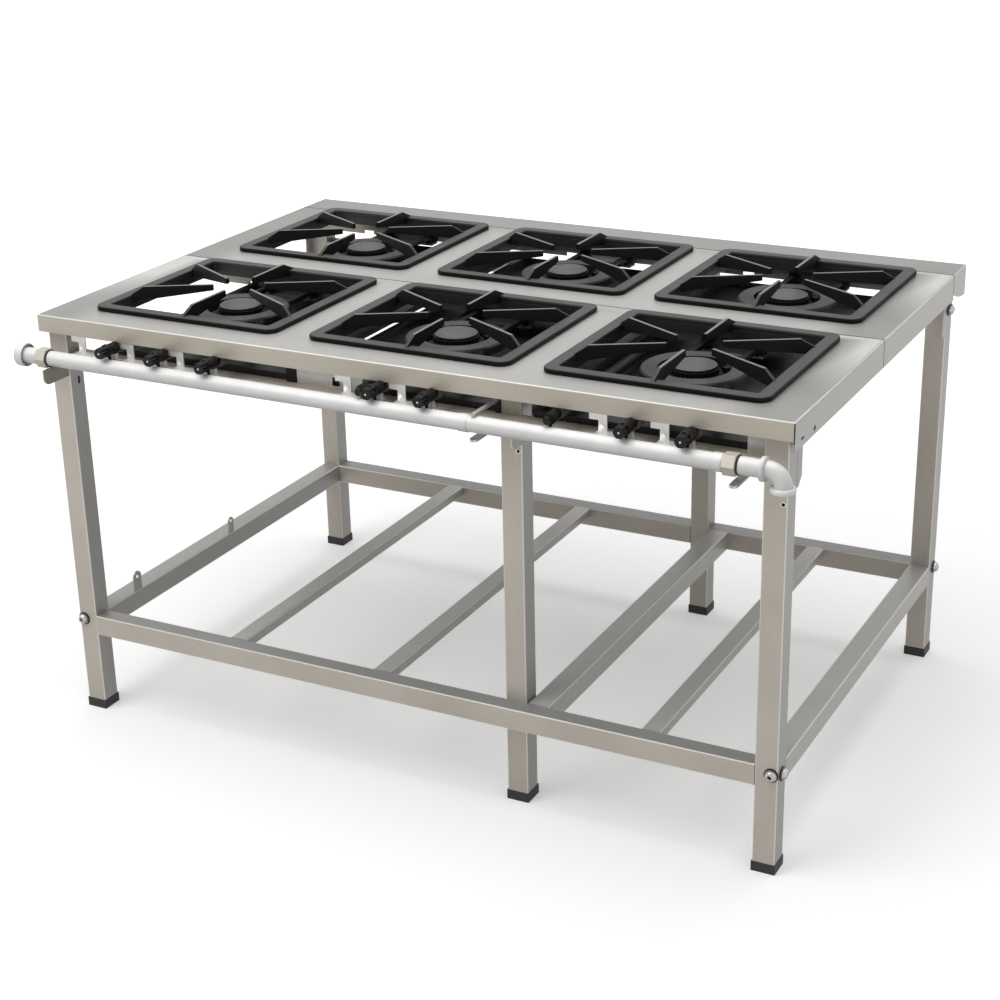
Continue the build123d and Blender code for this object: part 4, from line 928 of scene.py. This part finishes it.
@dataclass
class Stage:
    """Floor, lamps and camera of the studio."""

    camera_place: Point = (1.60039, -3.08440, 1.78561)
    azimuth: float = 27.739
    elevation: float = 21.934
    roll: float = -1.291
    lens: float = 69.97
    sensor: float = 36.0
    floor_size: float = 60.0
    near: float = 1.3
    far: float = 4.5
    near_glow: float = 0.335
    sky: float = 0.45
    lamps: tuple[tuple[str, Point, Point, float, float], ...] = (
        ("key_lamp", (-1.6, -2.4, 3.6), (0.0, 0.0, 0.6), 2.6, 52.0),
        ("side_lamp", (3.6, -1.4, 2.8), (0.2, 0.0, 0.5), 2.2, 2.5),
        ("top_lamp", (0.0, 0.2, 3.8), (0.0, 0.0, 0.8), 3.0, 62.0),
    )

    def build(self) -> None:
        """Places everything around the stove."""
        self.add_floor()
        self.add_world()
        for lamp in self.lamps:
            self.add_lamp(*lamp)
        self.add_camera()

    def choose(self, board: NodeBoard, lit: Socket, seen: Socket, output: bpy.types.Node) -> None:
        """Shows one shader to the camera, to metal and to glass, and another to every other ray.

        Args:
            board: The material's or the world's board.
            lit: The shader that takes part in the light.
            seen: The shader of the visible background.
            output: The tree's output node.
        """
        rays = board.add("ShaderNodeLightPath").outputs
        direct = board.math("MAXIMUM", rays["Is Camera Ray"], rays["Is Glossy Ray"])
        either = board.add("ShaderNodeMixShader")
        board.link(board.math("MAXIMUM", direct, rays["Is Transmission Ray"]), either.inputs[0])
        board.link(lit, either.inputs[1])
        board.link(seen, either.inputs[2])
        board.link(either.outputs["Shader"], output.inputs["Surface"])

    def add_floor(self) -> None:
        """Large plane that is plain white to the camera and keeps the shadow."""
        bpy.ops.object.select_all(action="DESELECT")
        bpy.ops.mesh.primitive_plane_add(size=self.floor_size, location=(0.0, 0.0, 0.0))
        floor = bpy.context.object
        floor.name = "studio_floor"
        material = bpy.data.materials.new("floor_paper")
        board = fresh_board(material)
        diffuse = board.add("ShaderNodeBsdfDiffuse", Color=(*grey(0.86), 1.0)).outputs["BSDF"]
        away = board.add("ShaderNodeVectorMath", operation="LENGTH")
        board.link(board.add("ShaderNodeTexCoord").outputs["Object"], away.inputs[0])
        glow = board.add("ShaderNodeEmission", Color=(*grey(1.0), 1.0))
        board.link(board.band(away.outputs["Value"], self.near, self.far, self.near_glow), glow.inputs["Strength"])
        total = board.add("ShaderNodeAddShader")
        board.link(diffuse, total.inputs[0])
        board.link(glow.outputs["Emission"], total.inputs[1])
        self.choose(board, diffuse, total.outputs["Shader"], board.add("ShaderNodeOutputMaterial"))
        floor.data.materials.append(material)

    def add_world(self) -> None:
        """Soft grey surroundings that are white to the camera."""
        world = bpy.data.worlds.new("studio")
        bpy.context.scene.world = world
        board = fresh_board(world)
        light, white = (
            board.add("ShaderNodeBackground", Color=(*grey(1.0), 1.0), Strength=strength).outputs["Background"]
            for strength in (self.sky, 1.0)
        )
        self.choose(board, light, white, board.add("ShaderNodeOutputWorld"))

    def add_lamp(self, name: str, place: Point, target: Point, size: float, power: float) -> None:
        """Adds one square area lamp.

        Args:
            name: The lamp's name.
            place: Where it hangs.
            target: What it points at.
            size: Its side in metres.
            power: Its power in watts.
        """
        data = bpy.data.lights.new(name, "AREA")
        data.shape = "SQUARE"
        data.size = size
        data.energy = power
        lamp = bpy.data.objects.new(name, data)
        bpy.context.scene.collection.objects.link(lamp)
        lamp.location = place
        lamp.rotation_euler = (Vector(target) - Vector(place)).to_track_quat("-Z", "Y").to_euler()

    def add_camera(self) -> None:
        """Camera at the photograph's place and angle."""
        data = bpy.data.cameras.new("camera")
        data.sensor_width = self.sensor
        data.lens = self.lens
        camera = bpy.data.objects.new("camera", data)
        bpy.context.scene.collection.objects.link(camera)
        turn, rise, roll = radians(self.azimuth), radians(self.elevation), radians(self.roll)
        back = Vector((sin(turn) * cos(rise), -cos(turn) * cos(rise), sin(rise)))
        right = Vector((cos(turn), sin(turn), 0.0))
        up = back.cross(right)
        tilted_right = cos(roll) * right + sin(roll) * up
        tilted_up = -sin(roll) * right + cos(roll) * up
        axes = Matrix((tilted_right, tilted_up, back)).transposed()
        camera.matrix_world = Matrix.Translation(self.camera_place) @ axes.to_4x4()
        bpy.context.scene.camera = camera


@dataclass
class CastGrates:
    """Six cast-iron grates: a rounded rim, a skirt and six tapered fingers each."""

    finishes: FinishSet
    half_width: float = 195.0
    half_depth: float = 186.0
    corner: float = 22.0
    rim: float = 24.0
    skirt_inset: float = 19.0
    skirt_low: float = 783.0
    seat: float = 800.0
    rim_top: float = 809.0
    finger_top: float = 824.0
    finger_low: float = 813.0
    root_low: float = 796.0
    root_reach: float = 2.5
    tip: float = 47.0
    thick: float = 8.0
    ridge: float = 6.0
    spread: float = 29.0
    touch: float = 1e-4

    def build(self) -> None:
        """Models one grate and copies it to the six burners."""
        for grate, place in six_copies(self.model(), "cast_grate"):
            install(grate, None, f"grate_{place}_body", "cast_iron", (f"grate_{place}",))

    def model(self) -> Piece:
        """Models the grate at the left front place.

        Returns:
            The joined grate.
        """
        place = at(COLUMNS["left"], ROWS["front"], 0.0)
        parts = [
            self.frame_ring("grate_rim", 0.0, self.corner, self.seat, self.rim_top, 2.6),
            self.frame_ring("grate_skirt", self.skirt_inset, 6.0, self.skirt_low, self.seat + 1.0, 0.9),
        ]
        slant = (self.half_width - self.rim) / cos(radians(self.spread))
        for angle in (-self.spread, self.spread, 180.0 - self.spread, 180.0 + self.spread):
            parts.append(BENCH.swing(self.finger(slant, 20.0, 5.0), angle, place))
        for angle in (90.0, 270.0):
            parts.append(BENCH.swing(self.finger(self.half_depth - self.rim, 15.0, 19.0), angle, place))
        return BENCH.smooth(BENCH.join(*parts), 38.0)

    def frame_ring(self, name: str, inset: float, corner: float, low: float, high: float, edge: float) -> Piece:
        """Models a rounded frame round the opening, with painted light on the walls of its opening.

        Args:
            name: The part's name.
            inset: How far it lies inside the rim's outline.
            corner: Outer corner radius.
            low: Its underside.
            high: Its top.
            edge: How much its edges are rounded.

        Returns:
            The frame.
        """
        x, y = COLUMNS["left"], ROWS["front"]
        wide, deep = self.half_width - inset, self.half_depth - inset
        ring = BENCH.rounded_block(name, at(x - wide, y - deep, low), at(x + wide, y + deep, high), corner * MM)
        wide, deep = self.half_width - self.rim, self.half_depth - self.rim
        corners = at(x - wide, y - deep, low - 9.0), at(x + wide, y + deep, high + 9.0)
        BENCH.bevel(BENCH.cut(ring, BENCH.rounded_block("tool", *corners, 4.0 * MM, 4)), edge * MM, 3, 40.0)
        ring.data.materials.append(self.finishes.grate)
        ring.data.materials.append(self.finishes.skirt)
        x, y, top = at(x, y, self.rim_top - 1.5)
        wide, deep = (wide + 0.5) * MM, (deep + 0.5) * MM
        # Walls round the opening take the paler second material: painted light.
        for face in ring.data.polygons:
            inside = abs(face.center.x - x) < wide and abs(face.center.y - y) < deep
            if inside and abs(face.normal.z) < 0.5 and face.center.z < top:
                face.material_index = 1
        return ring

    def finger(self, reach: float, knee_back: float, landing_on: float) -> Piece:
        """Models a finger along +X from the grate's middle.

        Args:
            reach: From the middle to the rim's inner edge.
            knee_back: How far before the edge the finger starts to fall.
            landing_on: How far past the edge it ends.

        Returns:
            The finger.
        """
        knee, root, landing = reach - knee_back, reach + self.root_reach, reach + landing_on
        half, low, top = self.thick / 2, self.finger_low, self.finger_top
        bar = BENCH.block(
            "grate_finger", (self.tip * MM, -half * MM, low * MM), (knee * MM, half * MM, top * MM)
        )
        BENCH.open(bar)
        for start, end in ((knee, root), (root, landing)):
            edge = (start - 0.1) * MM
            BENCH.choose(bar, Pick.FACES, lambda place, normal: place.x > edge and normal.x > 0.5)
            bpy.ops.mesh.extrude_region_move(TRANSFORM_OT_translate={"value": ((end - start) * MM, 0.0, 0.0)})
        BENCH.choose(bar, Pick.VERTS, lambda place, normal: place.z > (low + top) / 2 * MM)
        bpy.ops.transform.resize(value=(1.0, self.ridge / self.thick, 1.0), center_override=(0.0, 0.0, 0.0))
        slope = (self.root_low - low) / (root - self.tip)
        fall = (self.rim_top - top) / (landing - knee)
        border = (self.ridge / 2 + 0.1) * MM
        for along, upper, drop in (
            (knee, False, slope * (knee - self.tip)),
            (root, False, self.root_low - low),
            (landing, False, self.rim_top - 1.0 - low),
            (root, True, fall * (root - knee)),
            (landing, True, self.rim_top - top),
        ):
            BENCH.choose(bar, Pick.VERTS, lambda place, normal: (
                abs(place.x - along * MM) < self.touch and (abs(place.y) < border) == upper
            ))
            bpy.ops.transform.translate(value=(0.0, 0.0, drop * MM))
        BENCH.close()
        bar.data.materials.append(self.finishes.grate)
        return BENCH.bevel(bar, 1.0 * MM, 2, 30.0)


@dataclass
class BurnerCaps:
    """Six loose burner caps with a turned crown."""

    finishes: FinishSet
    outline: Steps = (
        (29.6, 774.6), (29.6, 779.8), (33.0, 780.2), (33.4, 782.2), (36.6, 782.6), (37.8, 783.2), (38.3, 784.2),
        (38.0, 785.2), (37.2, 785.8), (36.0, 786.0), (24.0, 786.0), (22.5, 785.7), (10.0, 785.7),
    )

    def build(self) -> None:
        """Turns one cap for each burner."""
        for place, x, y in burner_places():
            cap = BENCH.smooth(BENCH.turned(f"crowned_cap_{place}", self.outline, at(x, y, 0.0), sides=64), 50.0)
            install(cap, self.finishes.cap, f"burner_cap_{place}_body", "cap_iron", (f"burner_cap_{place}",))


@dataclass
class ControlKnobs:
    """Seven fluted knobs and two small plain ones, with a white mark on each fluted one's face."""

    finishes: FinishSet
    main_x: tuple[float, ...] = (176.0, 282.0, 389.0, 722.0, 820.0, 1175.0, 1277.0)
    side_x: tuple[float, ...] = (698.0, 1044.0)
    main_z: float = 761.5
    side_z: float = 757.0
    rear: float = 28.0
    side_rear: float = 27.5
    length: float = 25.0
    grip: float = 10.5
    flutes: int = 6
    flute: float = 3.5
    flute_depth: float = 1.6
    flute_start: float = 6.6
    outline: Steps = (
        (3.05, 0.0), (11.2, 0.0), (11.8, 0.8), (11.8, 4.6), (11.5, 5.6), (10.9, 6.1), (10.5, 6.8),
        (10.4, 8.0), (10.4, 23.0), (9.9, 24.3), (8.9, 24.9), (7.6, 25.0), (7.0, 24.6), (3.0, 24.6),
    )
    side_outline: Steps = (
        (3.05, 0.0), (6.6, 0.0), (7.0, 0.5), (7.0, 8.6), (6.4, 9.6), (5.4, 10.0), (4.8, 9.7), (2.0, 9.7),
    )
    mark: Steps = ((1.7, -1.0), (1.7, -0.2), (1.36, 0.0), (0.51, 0.0))

    def build(self) -> None:
        """Models one knob of each kind and copies them along the rail."""
        first, small = self.fluted(), self.plain()
        for index, x in enumerate(self.main_x):
            node = f"knob_{index + 1}"
            self.place_copy(first, f"fluted_{node}", x - self.main_x[0], node)
            face = at(x, -self.rear - self.length, self.main_z)
            dot = BENCH.smooth(BENCH.turned(f"{node}_mark", self.mark, face, Turn.FRONT, 20))
            install(dot, self.finishes.mark, f"{node}_body", "knob_plastic")
        for index, x in enumerate(self.side_x):
            node = f"side_knob_{index + 1}"
            self.place_copy(small, f"plain_{node}", x - self.side_x[0], node)
        bpy.data.objects.remove(first)
        bpy.data.objects.remove(small)

    def place_copy(self, first: Piece, name: str, shift: float, node: str) -> None:
        """Copies a knob along the rail in its node's place.

        Args:
            first: The knob at the first tap.
            name: The copy's name.
            shift: How far along the rail it goes.
            node: The node that it replaces.
        """
        knob = BENCH.copy(first, name, (shift * MM, 0.0, 0.0))
        install(knob, self.finishes.knob, f"{node}_body", "knob_plastic", (node,))

    def fluted(self) -> Piece:
        """Models the fluted knob at the first tap.

        Returns:
            The knob.
        """
        x, z = self.main_x[0], self.main_z
        knob = BENCH.turned("fluted_knob", self.outline, at(x, -self.rear, z), Turn.FRONT, 60)
        reach = self.grip + self.flute - self.flute_depth
        for index in range(self.flutes):
            angle = 2 * pi / self.flutes * (index + 0.5)
            spot = at(x + reach * cos(angle), -self.rear - self.flute_start, z + reach * sin(angle))
            BENCH.cut(knob, BENCH.turned("flute", ((self.flute, 0.0), (self.flute, 30.0)), spot, Turn.FRONT, 24))
        return BENCH.smooth(knob, 40.0)

    def plain(self) -> Piece:
        """Models the small plain knob at the first side tap.

        Returns:
            The knob.
        """
        place = at(self.side_x[0], -self.side_rear, self.side_z)
        return BENCH.smooth(BENCH.turned("plain_knob", self.side_outline, place, Turn.FRONT, 40), 40.0)


@dataclass
class BurnerCrowns:
    """Six toothed burner heads under the caps."""

    finishes: FinishSet
    outline: Steps = (
        (34.4, 764.5), (45.5, 764.5), (46.0, 765.2), (46.0, 767.6), (41.5, 769.6), (40.8, 770.4), (40.8, 780.9),
        (40.0, 781.6), (34.4, 781.6), (34.4, 764.5),
    )
    teeth: int = 32
    gap: float = 3.8
    gap_reach: Pair = (37.5, 46.0)
    gap_height: Pair = (771.8, 780.2)

    def build(self) -> None:
        """Models one crown and copies it to the six burners."""
        place = at(COLUMNS["left"], ROWS["front"], 0.0)
        first = BENCH.turned("crown", self.outline, place, sides=96)
        low, high = (
            (self.gap_reach[end] * MM, side * self.gap / 2 * MM, self.gap_height[end] * MM)
            for end, side in ((0, -1.0), (1, 1.0))
        )
        tools = [
            BENCH.swing(BENCH.block("gap", low, high), 360.0 / self.teeth * (index + 0.5), place)
            for index in range(self.teeth)
        ]
        BENCH.smooth(BENCH.cut(first, BENCH.join(*tools)), 35.0)
        for crown, _ in six_copies(first, "toothed_crown"):
            install(crown, self.finishes.crown, "table", "burner_iron")


@dataclass
class RailFittings:
    """End cap, stubs, hexagon nuts, collar and sealing rings of the gas rail."""

    finishes: FinishSet
    y: float = -33.0
    z: float = 732.0
    flats: float = 33.0
    nut_starts: Pair = (25.0, 1341.5)
    nut_length: float = 22.5
    silver: tuple[tuple[str, float, Steps, tuple[str, ...]], ...] = (
        ("rail_end_cap", -20.0, (
            (16.0, 0.0), (18.6, 0.2), (20.4, 1.2), (21.3, 2.8), (21.5, 5.0), (21.5, 16.6), (21.2, 17.6), (20.4, 18.0),
            (19.6, 17.8), (19.2, 17.0), (19.0, 11.0), (17.0, 10.2), (14.6, 10.0),
        ), ("pipe_fittings",)),
        ("rail_left_stub", -11.0, ((13.5, 0.0), (14.5, 0.6), (14.5, 36.2), (14.0, 36.4)), ()),
        ("rail_collar", 1325.0, (
            (14.1, 0.0), (14.7, 0.0), (15.0, 0.5), (15.0, 14.4), (14.7, 15.0), (14.1, 15.0), (14.1, 0.0),
        ), ()),
        ("rail_right_stub", 1365.0, ((14.0, 0.0), (14.5, 0.0), (14.5, 40.5), (14.0, 41.0)), ()),
    )
    seal: Steps = (
        (14.1, 0.0), (15.6, 0.1), (16.2, 0.7), (16.2, 2.2), (15.6, 2.8), (14.6, 2.9), (14.1, 2.4), (14.1, 0.0),
    )

    def build(self) -> None:
        """Turns each fitting along the rail."""
        for name, start, steps, nodes in self.silver:
            install(self.fitting(name, start, steps), self.finishes.pipe, "table", "pipe_silver", nodes)
        for index, start in enumerate(self.nut_starts):
            install(self.nut(f"rail_nut_{index + 1}", start), self.finishes.nickel, "table", "nickel")
            seal = self.fitting(f"rail_seal_{index + 1}", start + self.nut_length, self.seal)
            install(seal, self.finishes.seal, "table", "knob_plastic")

    def fitting(self, name: str, start: float, steps: Steps) -> Piece:
        """Turns one round fitting along the rail.

        Args:
            name: The piece's name.
            start: Where it begins along the rail.
            steps: Radius and distance of each step from the start.

        Returns:
            The fitting.
        """
        return BENCH.smooth(BENCH.turned(name, steps, at(start, self.y, self.z), Turn.RIGHT, 64), 40.0)

    def nut(self, name: str, start: float) -> Piece:
        """Models one hexagon nut with turned corners, a corner to the front.

        Args:
            name: The piece's name.
            start: Where it begins along the rail.

        Returns:
            The nut.
        """
        flat, corner, length = self.flats / 2, self.flats / 2 / cos(pi / 6), self.nut_length
        steps = ((flat, 0.0), (corner, 1.0), (corner, length - 1.0), (flat, length))
        piece = BENCH.turned(name, steps, at(start, self.y, self.z), Turn.RIGHT, 6)
        return BENCH.smooth(BENCH.bevel(piece, 0.5 * MM, 2, 25.0), 20.0)


@dataclass
class SmallParts:
    """Eyelets, dark seams between the sheets, dark rings that paint shade round the bolt heads, and dark plates that
    paint shade behind openings and beside the trays.
    """

    finishes: FinishSet
    holes: tuple[Point, ...] = ((1422.0, 12.0, 660.0), (951.0, 46.0, 664.0))
    eyelet: Steps = ((3.0, -1.0), (3.0, 0.5), (3.6, 0.9), (4.6, 0.8), (5.2, 0.0), (5.2, -1.0), (3.0, -1.0))
    arm_holes: tuple[Point, ...] = ((904.0, -19.0, 697.4), (1359.0, -38.0, 697.4))
    plug: Steps = ((2.55, 0.0), (2.55, 2.6), (1.8, 3.0), (0.6, 3.0))
    bolts: tuple[tuple[Point, Turn], ...] = (
        ((22.0, 12.0, 190.0), Turn.FRONT), ((1418.0, 12.0, 186.0), Turn.FRONT), ((1429.0, 32.0, 182.0), Turn.RIGHT),
        ((1429.0, 925.0, 190.0), Turn.RIGHT), ((1429.0, 912.0, 728.0), Turn.RIGHT),
    )
    # Dark ring round each bolt head: painted shade at its rim.
    ring: Steps = ((10.3, 0.0), (12.6, 0.0), (12.6, 1.1), (12.2, 1.7), (10.8, 1.7), (10.3, 1.2), (10.3, 0.0))
    socket: Steps = ((4.2, 6.4), (4.2, 7.2), (3.6, 7.6), (1.2, 7.6))
    plates: tuple[tuple[str, float, Point, Point], ...] = (
        # Backings and tray shades are dark plates standing for shade behind openings; the seams are dark joints.
        ("apron_hole_shade", 1.2, (1430.5, 56.0, 751.5), (1438.3, 104.0, 768.0)),
        ("slot_hole_shade", 1.2, (1430.5, 30.0, 758.0), (1438.3, 46.0, 768.0)),
        ("corner_seam", 0.3, (1438.4, -0.2, 764.6), (1440.4, 0.9, 797.6)),
        ("seam_front", 0.3, (1.0, 450.6, 797.0), (1439.0, 453.4, 800.15)),
        ("seam_rear", 0.3, (1.0, 892.6, 797.0), (1439.0, 895.4, 800.15)),
        ("seam_front_side", 0.3, (1439.0, 450.6, 750.5), (1440.15, 453.4, 799.0)),
        ("seam_rear_side", 0.3, (1439.0, 892.6, 750.5), (1440.15, 895.4, 799.0)),
        ("tray_shade_left", 0.3, (503.4, 44.2, 726.1), (526.2, 45.8, 750.0)),
        ("tray_shade_middle", 0.3, (911.4, 44.2, 726.1), (921.5, 45.8, 750.0)),
    )

    def build(self) -> None:
        """Places the small parts."""
        for index, place in enumerate(self.holes):
            ring = BENCH.turned(f"leg_eyelet_{index + 1}", self.eyelet, at(*place), Turn.FRONT, 32)
            install(BENCH.smooth(ring, 50.0), self.finishes.zinc, "table", "zinc_plate")
        for name, edge, low, high in self.plates:
            plate = BENCH.bevel(BENCH.block(name, at(*low), at(*high)), edge * MM, 2)
            install(BENCH.smooth(plate), self.finishes.seal, "table", "knob_plastic")
        for index, place in enumerate(self.arm_holes):
            self.dark(f"arm_plug_{index + 1}", self.plug, place, Turn.UP)
        for index, (place, turn) in enumerate(self.bolts):
            # Painted shade round each bolt head, then its socket.
            self.dark(f"bolt_shade_ring_{index + 1}", self.ring, place, turn)
            self.dark(f"bolt_socket_{index + 1}", self.socket, place, turn)

    def dark(self, name: str, steps: Steps, place: Point, turn: Turn) -> None:
        """Turns one small dark part.

        Args:
            name: The part's name.
            steps: Radius and height of each step.
            place: Where it stands on the table.
            turn: Its axis's direction.
        """
        part = BENCH.smooth(BENCH.turned(name, steps, at(*place), turn, 32), 50.0)
        install(part, self.finishes.seal, "table", "knob_plastic")


@dataclass
class FinishedNodes:
    """Nodes whose shape is right: a merged, smoothly shaded copy stands for each."""

    finishes: FinishSet
    done: tuple[str, ...] = ("grate_", "burner_cap_", "knob_", "side_knob_", "pipe_fittings")
    head_low: float = 764.4
    head_radius: float = 53.5
    left_limit: float = 100.0

    def dress(self) -> None:
        """Makes the copies and gives each its finish by the first words of its name."""
        paint = self.finishes
        rules = (
            ("sheet_", paint.top),
            ("leg_", paint.tube_z),
            ("lower_rail_left", paint.tube_y),
            ("lower_rail_right", paint.slat),
            ("lower_rail_", paint.tube_x),
            ("upper_rail_front", paint.painted_lit_ledge),
            ("upper_rail_", paint.tube_x),
            ("lower_", paint.slat),
            ("upper_cross", paint.under),
            ("rail_lugs", paint.tube_z),
            ("corner_gussets", paint.tube_z),
            ("rail_carriers", paint.tube_y),
            ("burner_hangers", paint.under),
            ("burner_", paint.burner),
            ("drip_tray", paint.tray),
            ("taps", paint.tap),
            ("tap_brackets", paint.zinc),
            ("frame_bolts", paint.bolt),
            ("gas_", paint.pipe),
            ("feet", paint.foot),
        )
        bodies = {node: body for body, nodes in frame["record"]["behaviour"]["bodies"].items() for node in nodes}
        slots = {part["node"]: part["material_slot"] for part in frame["record"]["subparts"]}
        for node in list(frame["nodes"]):
            if node.startswith(self.done):
                continue
            material = next(value for start, value in rules if node.startswith(start))
            piece = self.copy_node(node)
            if material is paint.burner:
                self.trim_head(piece, node)
            install(piece, material, bodies[node], slots[node], (node,))
            if node == "rail_carriers":
                self.shade_left_carrier(piece)

    def trim_head(self, piece: Piece, node: str) -> None:
        """Removes a burner's plain head, where the toothed crown stands.

        Args:
            piece: The burner's copy.
            node: The burner's node, named by row and side.
        """
        row, side = node.split("_")[1:]
        x, y, top = at(COLUMNS[side], ROWS[row], self.head_low)
        reach = (self.head_radius * MM) ** 2
        BENCH.open(piece)
        BENCH.choose(
            piece, Pick.FACES, lambda place, normal: place.z > top and (place.x - x) ** 2 + (place.y - y) ** 2 < reach
        )
        bpy.ops.mesh.delete(type="FACE")
        BENCH.close()

    def shade_left_carrier(self, piece: Piece) -> None:
        """Paints shade on the left carrier plate with a darker copy of its steel.

        Args:
            piece: The carriers' copy.
        """
        piece.data.materials.append(self.finishes.carrier)
        limit = at(self.left_limit, 0.0, 0.0)[0]
        for face in piece.data.polygons:
            if face.center.x < limit:
                face.material_index = 1

    def copy_node(self, node: str) -> Piece:
        """Copies a node, merges its loose triangles and shades it.

        Args:
            node: The node's name.

        Returns:
            The finished copy.
        """
        piece = bpy.data.objects.new(f"{node}_finished", frame["nodes"][node].data.copy())
        bpy.context.scene.collection.objects.link(piece)
        BENCH.open(piece)
        bpy.ops.mesh.select_all(action="SELECT")
        bpy.ops.mesh.remove_doubles(threshold=2e-6)
        BENCH.close()
        return BENCH.smooth(piece, 28.0)


def main() -> None:
    """Builds the scene in order."""
    logging.basicConfig(level=logging.INFO, format="%(name)s: %(message)s")
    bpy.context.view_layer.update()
    bpy.context.scene.view_settings.view_transform = "Standard"
    finishes = FinishSet()
    FinishedNodes(finishes).dress()
    for assembly in (CastGrates, BurnerCaps, BurnerCrowns, ControlKnobs, RailFittings, SmallParts):
        assembly(finishes).build()
    Stage().build()


if __name__ == "__main__":
    main()
